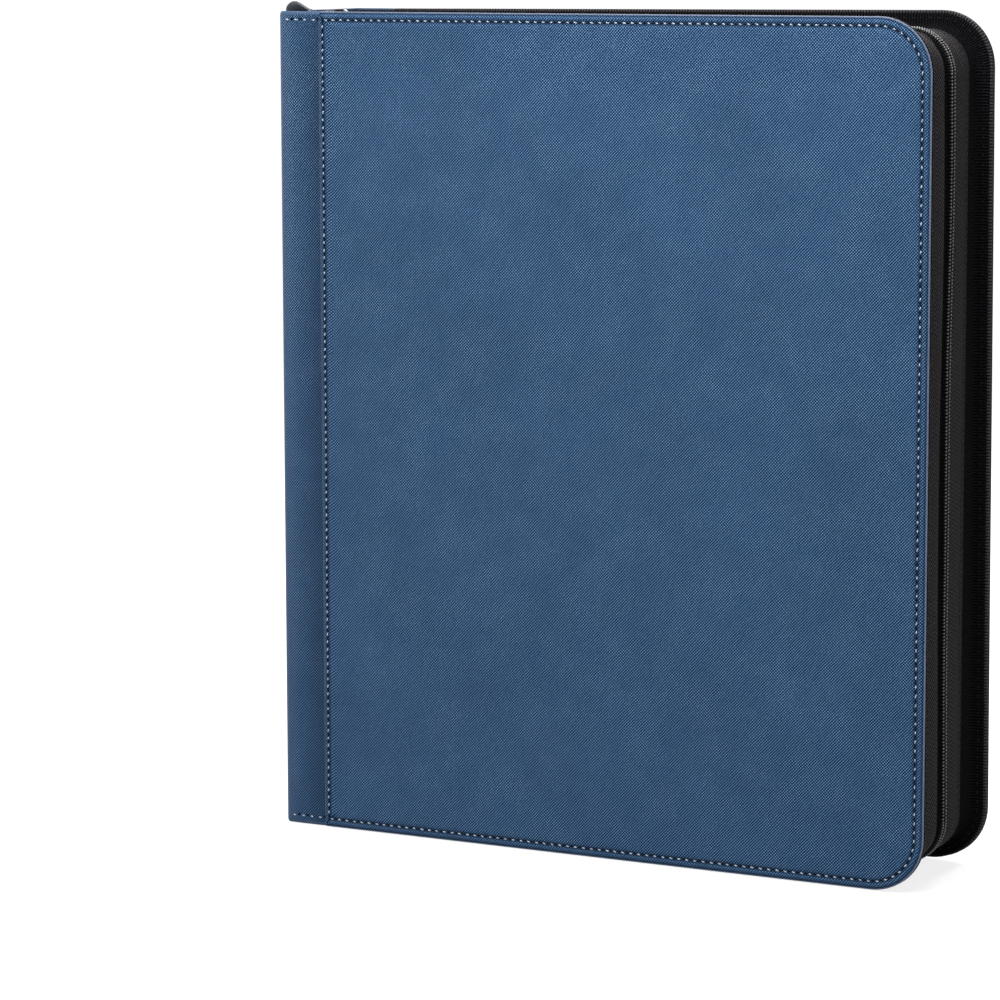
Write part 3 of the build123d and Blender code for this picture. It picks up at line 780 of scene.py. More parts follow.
# ---- spine wrap ----
def wrap_path(side):
    """Outer line of the spine wrap from the middle of the spine to the end of the flap:
    (x, y, outward x, outward y, length, depth of the turned-in rim, painted light)."""
    spine_rim = spine_board_high.x - wrap_low.x
    flap_rim = wrap_face - board_face
    start = wrap_low.x + wrap_roll
    points = [(wrap_low.x, y) for y in (0.0, 8.0, 16.0, 24.0, 30.0)]
    for angle in quarter(0.0, 10):
        fallen = wrap_crown + wrap_roll * (1 - math.sin(angle))
        points.append((start - wrap_roll * math.cos(angle), wrap_face - fallen))
    for i in range(1, 7):
        share = i / 6
        crown = wrap_crown * (1 - share) ** 2
        points.append((start + (fold_x - start) * share, wrap_face - crown - strip_dip * share * share))
    points.append((fold_x + 2.0, wrap_face - strip_dip))
    stations = []
    length = 0.0
    for i, (x, y) in enumerate(points):
        before = points[max(i - 1, 0)]
        after = points[min(i + 1, len(points) - 1)]
        along = Vector((after[0] - before[0], after[1] - before[1])).normalized()
        length += math.hypot(x - before[0], y - before[1])
        rim = spine_rim if i < 5 else 0.9
        if x > flap_low.x + 0.2:
            rim = flap_rim - (wrap_face - y)
        # Painted highlight on the rolled corner, and painted shade growing towards the fold.
        painted_light = max(0.0, 0.5 - abs(i - 12) / 10) if i < 17 else -0.12 * (i - 16)
        stations.append((x, side * y, -along.y, side * along.x, length, rim, painted_light))
    return stations


def spine_wrap(side):
    """Leather strip from the middle of the spine, round its rolled corner and under the panel."""
    name = SIDES[side]
    shell = Shell()
    rows, painted_light = [], []
    for x, y, out_x, out_y, length, rim, rolled in wrap_path(side):
        section = [
            (0.0, height - 1.9), (0.08, height - 1.2), (0.30, height - 0.5), (0.62, height - 0.12),
            (0.95, height), (rim, height), (rim, height - rim_width),
            (wrap_thickness + 0.3, height - rim_width),
        ]
        section += [(depth, height - z) for depth, z in section[::-1]]
        points = []
        for depth, z in section:
            depth = min(depth, rim)
            over = depth if z > mid_height else -depth
            points.append((x - out_x * depth, y - out_y * depth, z, side * -length, z + over))
            # The outer face takes the station's painted light; the rounded ends and rims get a slight
            # painted highlight.
            painted_light.append(rolled if depth < 0.05 else 0.3)
        rows.append(shell.row(points))
    shell.tube(rows)
    made = shell.build(f"{name}_spine_wrap", LEATHER, "cover_leather", 50.0)
    store_painted_light(made, painted_light)
    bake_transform(made)
    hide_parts(f"{name}_hinge_flap", "spine_skin")


# ---- wall, tape and coil ----
def fore_share(length, total):
    """0 along the top and bottom edges, rising to 1 over the corners to the fore-edge."""
    arc = corner_radius * QUARTER
    straight = (total - height + 2 * corner_radius - 2 * arc) / 2
    return ease(min(length - straight, total - straight - length) / arc)


def drift(length, total):
    """Sideways wander of the zip along the fore-edge; it runs straight where the slider goes."""
    waves = ((41.0, 0.0, 0.7), (23.0, 1.3, 0.45), (97.0, 0.4, 0.6))
    wander = sum(math.sin(length / period + shift) * swing for period, shift, swing in waves)
    return fore_share(length, total) * (wander + 0.9)


def wall(side):
    """Grosgrain webbing: a foot sewn to the cover and an upright band, joined by a soft fold."""
    inner = wall_inset + wall_thickness
    foot = inside_face - foot_thickness
    bend = 1.6
    outline = [
        (inner, inside_face), (inner, wall_edge + 0.4), (inner - 0.35, wall_edge),
        (wall_inset + 0.35, wall_edge), (wall_inset, wall_edge + 0.4), (wall_inset, 24.0),
        (wall_inset, foot - bend),
        (wall_inset - 0.12 * bend, foot - 0.62 * bend), (wall_inset - 0.4 * bend, foot - 0.25 * bend),
        (wall_inset - bend, foot - 0.03), (2.2, foot), (1.5, foot + 0.15),
        (lining_margin + 0.25, foot + 0.45), (lining_margin + 0.25, inside_face),
    ]
    section = []
    run = 0.0
    last = outline[0]
    for inset, y in outline:
        run += math.hypot(inset - last[0], y - last[1])
        last = (inset, y)
        section.append((inset, y, run))
    name = SIDES[side]
    made = rail(
        f"{name}_webbing", side, wall_start, lambda length, total: section, WEBBING, "webbing", 4.0, 50.0
    )
    settle(made, side)
    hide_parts(f"{name}_wall_webbing")


# The zip tape on the fore-edge: distance from the middle of the chain and inset.  The
# front one swells out beside the cover and dips steeply into a channel before the coil,
# the back one lies flatter against the coil.
TAPE_LINE = {
    -1: [
        (1.0, 6.75), (2.3, 6.75), (3.2, 7.3), (6.9, 7.35), (7.5, 7.0), (8.0, 6.2), (8.5, 5.4),
        (9.2, 5.1), (11.0, 5.05), (14.0, 5.35), (18.0, 6.0),
    ],
    1: [
        (1.0, 6.75), (2.3, 6.75), (2.8, 6.5), (3.6, 6.2), (4.4, 6.0), (5.4, 5.8), (6.6, 5.6),
        (8.4, 5.4), (11.0, 5.3), (14.0, 5.4), (18.0, 6.0),
    ],
}


def tape_place(side, y, length, total):
    """How loosely a point of the tape follows the chain's wander, and its inset."""
    loose = max(0.0, min(1.0, (19.0 - y) / 15.0))
    swell = 0.3 * math.sin(length / 31.0) * math.sin(math.pi * min(1.0, y / 19.0))
    line = TAPE_LINE[side] + [(tape_edge, tape_inset)]
    for first, second in zip(line, line[1:]):
        if y <= second[0]:
            part = (y - first[0]) / (second[0] - first[0])
            inset = first[1] + (second[1] - first[1]) * part
            break
    return loose, tape_inset + (inset - tape_inset + swell) * fore_share(length, total)


def tape(side):
    """Zip tape lying over the wall's free edge, wandering with the chain.  Its UV map is
    moved past the black strip of painted channel shadow, except on the front tape's fore-edge."""
    levels = [y for y, _ in TAPE_LINE[side]] + [tape_edge]

    def profile(length, total):
        shift = side * drift(length, total)
        # Where this is 1 the painted channel shadow is moved off the tape.
        plain = 1.0 if side > 0 else 1.0 - fore_share(length, total)
        outer, inner = [], []
        for y in levels:
            loose, inset = tape_place(side, y, length, total)
            moved = y + shift * loose
            outer.append((inset, moved, y + channel_shade_width * plain))
            inner.append((inset + tape_thickness - 0.02, moved, y + 0.6))
        return outer + inner[::-1]

    name = SIDES[side]
    made = rail(f"{name}_tape", side, wall_start, profile, TWILL, "zip_tape", 3.0, 50.0)
    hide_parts(f"{name}_zip_tape")


# Reach from the middle of the chain, depth below the bead and radius, along one turn.
TOOTH_RINGS = [
    (0.10, -1.05, 0.24), (0.50, -0.85, 0.32), (0.85, -0.35, 0.48), (1.18, 0.0, 0.62),
    (bead_reach, 0.10, bead_radius), (1.82, 0.0, 0.60), (2.10, -0.45, 0.44), (2.30, -0.95, 0.30),
    (2.50, -1.35, 0.22),
]


def tooth(shell, x, z, inward, side, shift, jitter):
    """One turn of the coil: it rises out of the tape to a round bead and dips again."""
    along = Vector((0, side, 0)).cross(inward)
    centre = Vector((x, 0, z)) + inward * bead_inset
    rows = []
    for reach, lift, radius in TOOTH_RINGS:
        middle = centre + Vector((0, side * reach + shift, 0)) - inward * lift
        middle += along * (0.10 * (reach - bead_reach) + jitter)
        rows.append(shell.ring(middle, along * radius, inward * radius, 8, reach, bead_radius))
    shell.tube(rows, flip=True)


def coil(side):
    """The chain's teeth on one tape, side by side with those of the other."""
    shell = Shell()
    stations = rail_path(wall_start, 3.0)
    total = stations[-1][4]
    for i in range(int(total / tooth_pitch)):
        length = (i + (0.45 if side < 0 else 0.6)) * tooth_pitch
        if length <= total - 0.5:
            x, z, inward = rail_point(stations, length)
            tooth(shell, x, z, inward, side, drift(length, total), random.uniform(-0.06, 0.06))
    name = SIDES[side]
    made = shell.build(f"{name}_coil", COIL, "zip_coil", 80.0)
    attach(made, f"{name}_cover")
    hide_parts(f"{name}_zip_coil")


def wall_stitches(side):
    """Dark stitching on the foot of the wall."""
    threads = Shell()
    level = side * (inside_face - foot_thickness)
    foot = []
    for x, z, in_x, in_z, _ in rail_path(wall_start + 1.0):
        foot.append(Vector((x + in_x * foot_seam, level, z + in_z * foot_seam)))
    stitch_run(threads, None, foot, Vector((0, -side, 0)), 0.10)
    made = threads.build(f"{SIDES[side]}_wall_stitching", DARK_THREAD, "webbing", 80.0)
    settle(made, side)
    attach(made, f"{SIDES[side]}_cover")


def tape_stitches(side):
    """Two dark seams that hold the tape to the wall."""
    seams = Shell()
    stations = rail_path(wall_start + 1.0, 2.0)
    total = stations[-1][4]
    for level in (tape_edge - 1.1, 17.6):
        points = []
        for i in range(math.ceil((total - 4.0) / 3.0)):
            length = 2.0 + 3.0 * i
            loose, inset = tape_place(side, level, length, total)
            x, z, inward = rail_point(stations, length)
            y = level + side * drift(length, total) * loose
            points.append((Vector((x, side * y, z)) + inward * (inset - 0.06), inward))
        for (start, _), (end, inward) in zip(points, points[1:]):
            capsule(seams, start, start.lerp(end, 0.68), 0.22, -inward, 5)
    made = seams.build(f"{SIDES[side]}_tape_stitching", DARK_THREAD, "zip_tape", 80.0)
    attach(made, f"{SIDES[side]}_cover")


# ---- webbing and zip across the ends of the spine ----
fan_angle = math.atan2(hinge.y - tape_gap, wall_start - hinge.x)
fan_gap = Vector((math.sin(fan_angle), math.cos(fan_angle))) * 0.25
fan_centre = Vector((hinge.x, hinge.y))
pleat_swing = 0.4


def fan_columns(x_range, y_range, folds=10):
    """Radii of a fan plate: (direction, offset, inner radius, outer radius, share that
    follows the cover)."""
    still = fan_gap * 0.0

    def column(angle, offset, share):
        cosine, sine = math.cos(angle), math.sin(angle)
        inner = max((x_range[0] - hinge.x) / cosine, (hinge.y - y_range[1]) / sine)
        outer = min((x_range[1] - hinge.x) / cosine, (hinge.y - y_range[0]) / sine)
        return Vector((cosine, -sine)), offset, inner, max(inner, outer), share

    angles = sorted((math.atan2(hinge.y - y, x - hinge.x) for x in x_range for y in y_range), reverse=True)
    columns = [column(angle, still, 0.0) for angle in angles if angle > fan_angle + 0.02]
    for i in range(folds + 1):
        columns.append(column(fan_angle, fan_gap * (2 * i / folds - 1), i / folds))
    return columns + [column(angle, still, 1.0) for angle in angles if angle < fan_angle - 0.02]


def fan_plate(name, side, end, x_range, y_range, insets, material, slot, bulge, nodes):
    """Flat webbing beside a hinge, laid out in radii about it; on one radius a sliver is
    spread out as a fan with a pleat."""
    rings = 6
    shell = Shell()
    layers = []
    for inset in insets:
        rows = []
        for toward, offset, inner, outer, share in fan_columns(x_range, y_range):
            points = []
            for k in range(rings + 1):
                radius = inner + (outer - inner) * k / rings
                x, y = fan_centre + toward * radius + offset
                pleat = bulge * math.sin(math.pi * min(1.0, radius / 30.0)) if 0 < share < 1 else 0.0
                z = mid_height + end * (mid_height - inset - pleat)
                points.append((x, side * y, z, x + 20.0 * QUARTER * share, y))
            rows.append(shell.row(points))
        for first, second in zip(rows, rows[1:]):
            shell.join(first, second)
        layers.append(rows)
    upper, lower = layers
    for k in (0, -1):
        shell.join(upper[k], lower[k])
        shell.join([row[k] for row in upper], [row[k] for row in lower])
    made = shell.build(name, material, slot)
    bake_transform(made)
    if nodes:
        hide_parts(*nodes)


def spine_foot(end, end_name):
    """Webbing that turns in from one end of the spine."""
    inner = wall_inset + wall_thickness
    outline = [
        (foot_start, lining_margin + 0.2), (foot_start + 0.6, lining_margin + 0.2), (foot_face, 1.6),
        (foot_face, 4.4), (foot_face + 0.25, 5.3), (foot_face + 0.9, wall_inset), (foot_face + 0.9, inner),
        (foot_start, inner),
    ]
    shell = Shell()
    rows = []
    for share in (-1.0, -0.5, 0.0, 0.5, 1.0):
        y = spine_lining_high.y * share
        points = [(x, y, mid_height + end * (mid_height - inset), y, inset + x) for x, inset in outline]
        rows.append(shell.row(points))
    shell.tube(rows)
    foot = shell.build(f"{end_name}_spine_foot", WEBBING, "webbing")
    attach(foot, "spine")
    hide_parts(f"{end_name}_end_wall")


def spine_ends():
    """Webbing, tape and coil round both ends of the spine."""
    inner = wall_inset + wall_thickness
    webbing = (foot_start + 0.5, wall_start), (wall_edge, inside_face), (wall_inset, inner)
    end_tape = (foot_face, wall_start), (tape_gap, tape_edge), (tape_inset, wall_inset - 0.02)
    band = (foot_face + 4.0, wall_start), (0.15, coil_high.y), (coil_inset + 0.35, tape_inset)
    plates = (
        ("gusset", webbing, WEBBING, "webbing", pleat_swing, []),
        ("end_tape", end_tape, TWILL, "zip_tape", pleat_swing, ["spine_end_tapes"]),
        ("end_coil", band, COIL_BAND, "zip_coil", 0.0, ["spine_end_coils"]),
    )
    for end, end_name in ENDS.items():
        spine_foot(end, end_name)
        for side, side_name in SIDES.items():
            for piece, places, *looks in plates:
                fan_plate(f"{end_name}_{side_name}_{piece}", side, end, *places, *looks)


def spine_teeth():
    """Teeth of the zip across both ends of the spine."""
    teeth = Shell()
    for end in ENDS:
        x = foot_face + (1.2 if end > 0 else 4.4)
        z = mid_height + end * mid_height
        while x < wall_start - 0.4:
            for side in SIDES:
                place = x + (0.0 if side < 0 else 0.15 * tooth_pitch)
                tooth(teeth, place, z, Vector((0, 0, -end)), side, 0.0, 0.0)
            x += tooth_pitch
    made = teeth.build("spine_end_teeth", COIL, "zip_coil", 80.0)
    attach(made, "spine")


def lining_folds():
    """Cloth across the inside of both hinges."""
    start = Vector((spine_lining_high.x - 0.1, spine_lining_high.y - 0.2))
    end = Vector((lining_low.x + 0.2, lining_low.y + 0.1))
    outward = Vector((-1, 1))
    steps = 12
    for side, name in SIDES.items():
        shell = Shell()
        rows = []
        for i in range(steps + 1):
            share = i / steps
            near = start.lerp(end, share) + outward * 0.25 * math.sin(math.pi * share)
            far = near + outward * 0.3
            corners = ((near, 1.0), (near, height - 1.0), (far, height - 1.0), (far, 1.0))
            rows.append(shell.row([(spot.x, side * spot.y, z, 5.0 * share, z) for spot, z in corners]))
        shell.tube(rows)
        made = shell.build(f"{name}_lining_fold", LINING, "lining_cloth")
        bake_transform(made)


def binding_seam():
    """Crossed sewing down the middle of the binding strip."""
    shell = Shell()
    face = strip_high.x + 0.1
    step, swing = 4.0, 1.5
    z = strip_low.z + 3.0
    while z + step < strip_high.z - 3.0:
        for reach in (-swing, swing):
            start, end = Vector((face, reach, z)), Vector((face, -reach, z + step))
            capsule(shell, start, end, 0.42, Vector((1, 0, 0)))
        z += step
    made = shell.build("binding_seam", DARK_THREAD, "binding_cloth", 80.0)
    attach(made, "spine")


# ---- pull tab ----
tab_pivot = joint_mm("tab_hinge")
tab_low, tab_high = box_mm("pull_tab")
tab_half = 1.0
tab_front, tab_neck = 4.3, 2.2
tab_run, curl_radius, curl_angle = 19.6, 4.0, math.radians(75.0)
tab_stand, solid_stand = 3.0, 3.9
tab_lean = 1.1
tab_rim, tab_recess = 1.3, 0.35
head_radius = 5.3
small_radius = head_radius / 3
head_clearance = 0.3
head_step = height + head_clearance
tab_sink = (solid_stand - tab_stand) * math.sin(curl_angle)


def tab_line(length):
    """Middle line of the tab, from the link: (y, z, normal y, normal z)."""
    turned = max(0.0, min(curl_angle, (length - tab_run) / curl_radius))
    level = min(length, tab_run)
    beyond = max(0.0, length - tab_run - curl_radius * curl_angle)
    y = tab_pivot.y - level - curl_radius * math.sin(turned) - beyond * math.cos(turned)
    z = tab_pivot.z + curl_radius * (1 - math.cos(turned)) + beyond * math.sin(turned)
    return y, z, math.sin(turned), math.cos(turned)


def tab_sides(length, z):
    """Left and right edge of the tab: a narrow neck, a level strip and a leaning round head."""
    if z <= head_step:
        breadth = tab_neck + (tab_front - tab_neck) * ease((length - 2.6) / 6.0)
        middle = tab_high.x - tab_front - tab_lean * ease((length - 9.0) / 10.0)
        return middle - breadth, middle + breadth
    head_x = tab_low.x + head_radius - tab_lean
    small_x = tab_high.x - small_radius - tab_lean
    rise = z - height + tab_sink
    lean = math.asin((head_radius - small_radius) / (small_x - head_x))
    low, high = small_radius * math.cos(lean), head_radius * math.cos(lean)
    half = math.sqrt(max(0.0, head_radius**2 - rise**2))
    right = head_x + half
    if rise < low:
        right = small_x + math.sqrt(small_radius**2 - rise**2)
    elif rise < high:
        start = small_x + small_radius * math.sin(lean)
        end = head_x + head_radius * math.sin(lean)
        right = start + (end - start) * (rise - low) / (high - low)
    return head_x - half, right


def tab_section(width, sunk):
    """Upper half of the tab's cross-section from side to side: (place, share of the height)."""
    half = [(0.0, 0.0), (0.12, 0.55), (0.42, 0.92), (0.8, 1.0), (tab_rim, 1.0), (tab_rim + 0.3, 1.0 - sunk)]
    if width < 2 * tab_rim + 0.8:
        half = [(0.0, 0.0), (0.03, 0.55), (0.1, 0.92), (0.2, 1.0), (0.3, 1.0), (0.45, 1.0)]
        half = [(width * share, rise) for share, rise in half]
    return half + [(width - place, rise) for place, rise in half[::-1]]


def tab_barrel(shell):
    """Ring of rubber round the link's bar."""
    barrel, bore = 1.7, 1.05
    rings = []
    for x, radius in (
        (-tab_neck, bore), (-tab_neck, barrel - 0.2), (0.2 - tab_neck, barrel),
        (tab_neck - 0.2, barrel), (tab_neck, barrel - 0.2), (tab_neck, bore),
    ):
        centre = tab_pivot + Vector((x, 0, 0))
        rings.append(shell.ring(centre, Vector((0, radius, 0)), Vector((0, 0, radius)), 20, x, radius))
    shell.wrap(rings + rings[:1])


def pull_tab():
    """Soft strip folded round the link, curled up at its end, with a sunk panel."""
    last = tab_run + curl_radius * curl_angle + tab_stand
    top = last - 0.05
    step_up = tab_run + curl_radius * math.acos(1 - (head_step - tab_pivot.z) / curl_radius)
    lengths = [1.2, 2.0, 2.6, 3.4, 4.4, 5.4, 6.4, 7.4, 8.6, 10.2, 10.6, 13.0, 16.0, 18.4]
    lengths += [19.2, 20.4, 21.6, 22.6, step_up - 0.02, step_up + 0.02]
    lengths += [step_up + (top - step_up) * math.sin(angle) for angle in quarter(0.0, 10)[1:]]
    shell = Shell()
    rows = []
    for length in lengths:
        y, z, normal_y, normal_z = tab_line(length)
        left, right = tab_sides(length, z + (0.12 if length > step_up else 0.0))
        across = tab_section(right - left, tab_recess if 10.4 < length < 17.0 else 0.0)
        thick = tab_half * min(1.0, math.sqrt(max(0.02, (last - length) / 1.2)))
        points = []
        for place, rise in across + [(place, -rise) for place, rise in across[-2:0:-1]]:
            level = rise * thick
            points.append((left + place, y + normal_y * level, z + normal_z * level, length, place))
        rows.append(shell.row(points))
    shell.tube(rows)
    tab_barrel(shell)
    made = shell.build("pull_tab_moulding", RUBBER, "pull_rubber", 40.0)
    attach(made, "pull_tab")
    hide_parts("pull_tab")


# ---- leaves ----
leaf_count = 12
middle_leaves = (6, 7)
column_pitch, row_pitch = 83.5, 111.5
film_half = 0.3
knee_reach = 4.0
page_radius = 12.0
# Inset from a pocket's outline and height above the middle of the film.
PAGE_POCKET = ((0.0, film_half), (0.25, 1.3), (1.6, 2.05), (5.0, 2.25))
CLEAR_POCKET = ((0.0, 0.32), (0.3, 1.5), (1.4, 2.15), (3.0, 2.28))


def cell_half(low, high):
    """Half the width and height of one of nine things, from the box round all nine."""
    return Vector(((high.x - low.x) / 2 - column_pitch, (high.z - low.z) / 2 - row_pitch))


page_low, page_high = box_mm("leaf_06_page")
pocket_low, pocket_high = box_mm("leaf_06_pockets")
card_low, card_high = box_mm("leaf_06_cards")
pocket_half = cell_half(pocket_low, pocket_high)
sleeve_half = cell_half(*box_mm("leaf_06_sleeves"))
card_half = cell_half(card_low, card_high)
grid_x = (pocket_low.x + pocket_high.x) / 2
grid_z = (pocket_low.z + pocket_high.z) / 2
card_shift = (card_low.z + card_high.z) / 2 - grid_z
cells = [(column, row) for column in (-1, 0, 1) for row in (-1, 0, 1)]


def cell_centre(column, row):
    """Middle of one pocket in X and Z."""
    return grid_x + column * column_pitch, grid_z + row * row_pitch


def rounded(half_x, half_z, radius):
    """Closed rounded rectangle about the origin: (x, z)."""
    points = []
    for sign_x, sign_z, start in ((1, -1, -QUARTER), (1, 1, 0.0), (-1, 1, QUARTER), (-1, -1, 2 * QUARTER)):
        for angle in quarter(start, 5):
            x = sign_x * (half_x - radius) + radius * math.cos(angle)
            points.append((x, sign_z * (half_z - radius) + radius * math.sin(angle)))
    return points


def resized(outline, size_x=1.0, size_z=1.0, shift=0.0):
    """An outline scaled about the origin, then moved up by shift."""
    return [(x * size_x, z * size_z + shift) for x, z in outline]


def layers(shell, centre, outlines, uv=None):
    """Rows of points from outlines in X and Z about a centre, each given with its Y."""
    rows = []
    for outline, y in outlines:
        points = []
        for x, z in outline:
            pair = uv(x, z) if uv else (x, z)
            points.append((x + centre[0], y, z + centre[1], *pair))
        rows.append(shell.row(points))
    return rows


def pocket_outlines(profile, radius, y, face):
    """Outlines of a pocket that swells out of the film at y towards one face."""
    return [
        (rounded(pocket_half.x - inset, pocket_half.y - inset, radius), y + face * depth)
        for inset, depth in profile
    ]


def leaf_strip(name, axis, x_from, x_to, nodes):
    """Straight film strip at one fold of a leaf, from x_from to x_to."""
    shell = Shell()
    low, high = axis.y - film_half, axis.y + film_half
    bottom, top = page_low.z, page_high.z
    count = 24
    rows = []
    for i in range(count + 1):
        x = x_from + (x_to - x_from) * i / count
        corners = ((low, bottom), (high, bottom), (high, top), (low, top))
        rows.append(shell.row([(x, y, z, x, z) for y, z in corners]))
    shell.tube(rows)
    made = shell.build(name, FILM, "page_film")
    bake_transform(made)
    if nodes:
        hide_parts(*nodes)


def page_piece(number, y, side):
    """One page: film with rounded outer corners, pockets welded on, loaded on both faces
    except on the inner faces of the two middle leaves."""
    shell = Shell()
    start = page_low.x - 0.4 + knee_reach
    half_x = (page_high.x - start) / 2
    half_z = (page_high.z - page_low.z) / 2
    outline = []
    for sign_z, begin in ((-1, -QUARTER), (1, 0.0)):
        for angle in quarter(begin, 8):
            x = half_x - page_radius + page_radius * math.cos(angle)
            outline.append((x, sign_z * (half_z - page_radius) + page_radius * math.sin(angle)))
    outline += [(-half_x, half_z), (-half_x, -half_z)]
    sheet = ((outline, y - film_half), (outline, y + film_half))
    shell.tube(layers(shell, ((start + page_high.x) / 2, mid_height), sheet))
    for face in [side] if number in middle_leaves else [-1, 1]:
        for cell in cells:
            rings = pocket_outlines(PAGE_POCKET, 2.5, y, face)
            shell.tube(layers(shell, cell_centre(*cell), rings), flip=True)
    made = shell.build(f"leaf_{number:02d}_sheet", FILM, "page_film", 60.0)
    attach(made, f"page_{number:02d}")
    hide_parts(f"leaf_{number:02d}_page")


def weld_lines(number, y, side):
    """Dotted welds between the columns and at both edges of an inner face."""
    shell = Shell()
    level = y - side * 0.34
    out = Vector((0, -side, 0))
    for share, shift in ((-0.5, 0.0), (0.5, 0.0), (1.5, -1.0), (-1.5, 0.0)):
        x = grid_x + share * column_pitch + shift
        z = page_low.z + 6.0
        while z < page_high.z - 6.0:
            capsule(shell, Vector((x - 0.55, level, z)), Vector((x + 0.55, level, z)), 0.45, out, 6, 0.5)
            z += 2.2
    made = shell.build(f"leaf_{number:02d}_welds", FILM, "page_film", 80.0)
    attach(made, f"page_{number:02d}")


def filled_pockets(number, y, side):
    """Clear pocket films, stiff sleeves and cards on the inner face of a middle leaf."""
    films, sleeves, cards = Shell(), Shell(), Shell()
    outer = rounded(sleeve_half.x, sleeve_half.y, 2.0)
    window = rounded(card_half.x + 1.6, card_half.y + 1.8, 2.2)
    opening = resized(window, shift=card_shift)
    rings = (
        (resized(outer, 0.99, 0.993), 0.42), (outer, 0.55), (outer, 1.75),
        (resized(outer, 0.985, 0.99), 1.95),
        (resized(window, 1.03, 1.03, card_shift), 1.95), (opening, 1.80), (opening, 0.95),
    )
    for column, row in cells:
        centre = cell_centre(column, row)
        rows = layers(films, centre, pocket_outlines(CLEAR_POCKET, 2.0, y, -side))
        films.wrap(rows)
        films.cap(rows[-1])
        rows = layers(sleeves, centre, [(ring, y - side * depth) for ring, depth in rings])
        sleeves.tube(rows, flip=True)
        tilt = random.uniform(-0.006, 0.006)
        nudge = random.uniform(-0.6, 0.6)
        card = column + 1 + (3 if side > 0 else 0)

        def card_uv(x, z, card=card, row=row):
            share_x = 0.5 - side * x / (2 * card_half.x) * 0.998
            share_z = 0.5 + z / (2 * card_half.y) * 0.998
            return card + share_x, row + 1 + share_z

        corners = rounded(card_half.x, card_half.y, 3.0)
        outline = [(x - z * tilt + nudge, z + x * tilt) for x, z in corners]
        faces = ((outline, y - side * 1.10), (outline, y - side * 1.40))
        cards.tube(layers(cards, (centre[0], centre[1] + card_shift), faces, card_uv))
    for shell, piece, node, material, slot in (
        (films, "pocket_films", "pockets", POCKET, "pocket_film"),
        (sleeves, "stiff_sleeves", "sleeves", SLEEVE, "sleeve_vinyl"),
        (cards, "loose_cards", "cards", CARDS, "card_print"),
    ):
        made = shell.build(f"leaf_{number:02d}_{piece}", material, slot, 40.0)
        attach(made, f"page_{number:02d}")
        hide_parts(f"leaf_{number:02d}_{node}")


def leaves():
    """The leaves, each with a fold at its root and one at its knee."""
    for number in range(1, leaf_count + 1):
        side = -1 if number <= leaf_count / 2 else 1
        root = joint_mm(f"root_{number:02d}")
        knee = joint_mm(f"knee_{number:02d}")
        name, gutter, page = (f"{kind}_{number:02d}" for kind in ("leaf", "gutter", "page"))
        middle = (root.x + knee.x) / 2
        node = [f"{name}_gutter"]
        leaf_strip(f"{name}_root_fold", root, root.x - 0.6, middle, node)
        leaf_strip(f"{name}_knee_fold", knee, middle, knee.x + knee_reach, [])
        page_piece(number, root.y, side)
        if number in middle_leaves:
            weld_lines(number, root.y, side)
            filled_pockets(number, root.y, side)


# ---- finishes of the CAD nodes that stay in view ----
def repaint():
    """Give each CAD node that stays in view its material."""
    choices = {"board": BOARD, "lining": LINING, "binding_strip": BINDING}
    choices.update({word: METAL for word in ("slider", "bail", "link", "stop")})
    for name, node in frame["nodes"].items():
        for word, material in choices.items():
            if word in name:
                node.data.materials.clear()
                node.data.materials.append(material)


# ---- stage ----
def floor_glow(shade):
    """Make a floor brighter for the camera, towards white with the distance."""
    place = shade.node("ShaderNodeTexCoord").outputs["Object"]
    reach = shade.node("ShaderNodeVectorMath", {0: place}, operation="LENGTH").outputs["Value"]
    strength = shade.span(reach, 0.6, 3.0, 0.80, 0.97)
    glow = shade.node("ShaderNodeEmission", {"Color": (1, 1, 1, 1), "Strength": strength})
    path = shade.node("ShaderNodeLightPath").outputs
    seen = shade.calc("MAXIMUM", path["Is Glossy Ray"], path["Is Transmission Ray"])
    seen = shade.calc("MAXIMUM", path["Is Camera Ray"], seen)
    off = shade.node("ShaderNodeEmission", {"Strength": 0.0})
    extra = shade.node("ShaderNodeMixShader", {0: seen, 1: off.outputs[0], 2: glow.outputs[0]})
    total = shade.node("ShaderNodeAddShader", {0: shade.shader.outputs[0], 1: extra.outputs[0]})
    tree = shade.tree
    tree.links.new(total.outputs[0], tree.nodes["Material Output"].inputs["Surface"])


def floor_plane():
    """Wide pale floor just below the binder."""
    bpy.ops.mesh.primitive_plane_add(size=120.0, location=(0, 0, -0.0005))
    floor = bpy.context.object
    floor.name = "floor"
    shade = Shade("pale_floor", Roughness=0.9, Specular_IOR_Level=0.0)
    tone = shade.noise(0.0002, 2.0, False)
    shade.finish(shade.ramp(tone, [(0.0, (0.40, 0.40, 0.40)), (1.0, (0.43, 0.43, 0.43))]))
    floor_glow(shade)
    floor.data.materials.append(shade.material)


def studio(scene):
    """Dim white light all round, and a white backdrop for the camera and in reflections."""
    scene.world = bpy.data.worlds.new("studio")
    scene.world.use_nodes = True
    nodes, links = scene.world.node_tree.nodes, scene.world.node_tree.links
    dim, white = nodes["Background"], nodes.new("ShaderNodeBackground")
    for background, strength in ((dim, 0.13), (white, 1.0)):
        background.inputs["Color"].default_value = (1, 1, 1, 1)
        background.inputs["Strength"].default_value = strength
    path = nodes.new("ShaderNodeLightPath")
    seen = path.outputs["Is Camera Ray"]
    for ray in ("Is Glossy Ray", "Is Transmission Ray"):
        either = nodes.new("ShaderNodeMath")
        either.operation = "MAXIMUM"
        links.new(seen, either.inputs[0])
        links.new(path.outputs[ray], either.inputs[1])
        seen = either.outputs[0]
    mixed = nodes.new("ShaderNodeMixShader")
    for i, source in enumerate((seen, dim.outputs[0], white.outputs[0])):
        links.new(source, mixed.inputs[i])
    links.new(mixed.outputs[0], nodes["World Output"].inputs["Surface"])


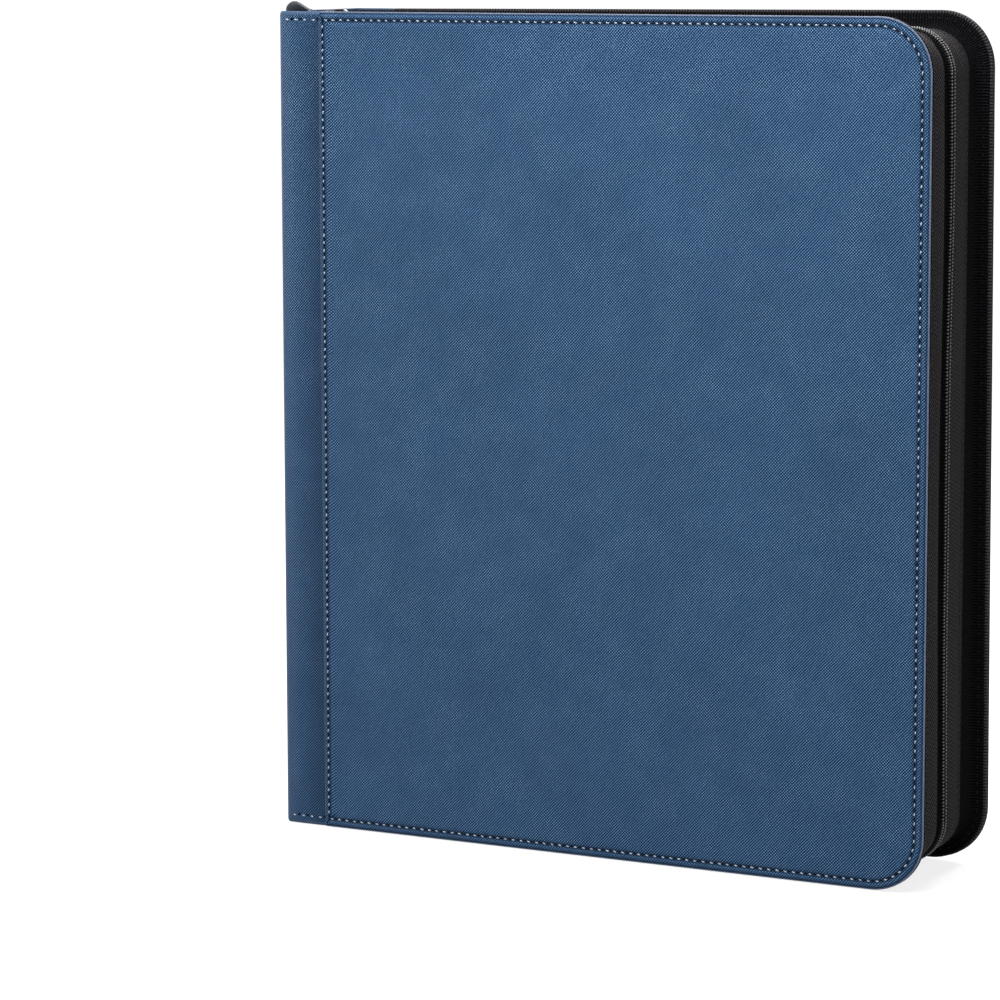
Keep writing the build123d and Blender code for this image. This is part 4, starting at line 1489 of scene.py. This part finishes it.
def lamp(scene, name, place, size, power):
    """A rectangular lamp that looks at the middle of the binder."""
    data = bpy.data.lights.new(name, "AREA")
    data.shape = "RECTANGLE"
    data.size, data.size_y = size
    data.energy = power
    made = bpy.data.objects.new(name, data)
    made.location = place
    target = Vector((0, 0, mid_height * MM))
    made.rotation_euler = (target - made.location).to_track_quat("-Z", "Y").to_euler()
    scene.collection.objects.link(made)


def stage(scene):
    """Floor, surroundings and lamps."""
    floor_plane()
    studio(scene)
    lamp(scene, "key", (0.12, -0.60, 0.85), (0.4, 0.35), 6.3)
    lamp(scene, "top", (0.05, -0.15, 1.45), (0.6, 0.5), 11.0)
    lamp(scene, "rim", (1.9, -0.10, 0.7), (0.3, 1.0), 8.0)
    lamp(scene, "fill", (-1.8, -0.25, 0.7), (0.6, 1.2), 19.0)
    lamp(scene, "back", (-0.3, 1.1, 1.1), (0.7, 0.5), 13.0)


def camera(scene):
    """The photo's viewpoint."""
    data = bpy.data.cameras.new("camera")
    data.sensor_width = 36.0
    data.lens = 148.33
    data.shift_x = 0.0051
    data.shift_y = -0.0006
    data.clip_end = 100.0
    made = bpy.data.objects.new("camera", data)
    scene.collection.objects.link(made)
    yaw, pitch, roll = (math.radians(a) for a in (28.350, 7.972, -0.165))
    ahead = Vector((-math.sin(yaw) * math.cos(pitch), math.cos(yaw) * math.cos(pitch), -math.sin(pitch)))
    level = Vector((math.cos(yaw), math.sin(yaw), 0))
    upright = level.cross(ahead)
    right = level * math.cos(roll) + upright * math.sin(roll)
    up = upright * math.cos(roll) - level * math.sin(roll)
    turn = Matrix((right, up, -ahead)).transposed().to_4x4()
    turn.translation = Vector((0.80837, -1.62176, 0.40900))
    made.matrix_world = turn
    scene.camera = made
    scene.view_settings.view_transform = "Standard"


for cover_side in SIDES:
    cover_panel(cover_side)
    edge_binding(cover_side)
    cover_stitches(cover_side)
    spine_wrap(cover_side)
    wall(cover_side)
    tape(cover_side)
    coil(cover_side)
    wall_stitches(cover_side)
    tape_stitches(cover_side)
spine_stitches()
spine_ends()
spine_teeth()
lining_folds()
binding_seam()
pull_tab()
leaves()
repaint()
stage(bpy.context.scene)
camera(bpy.context.scene)
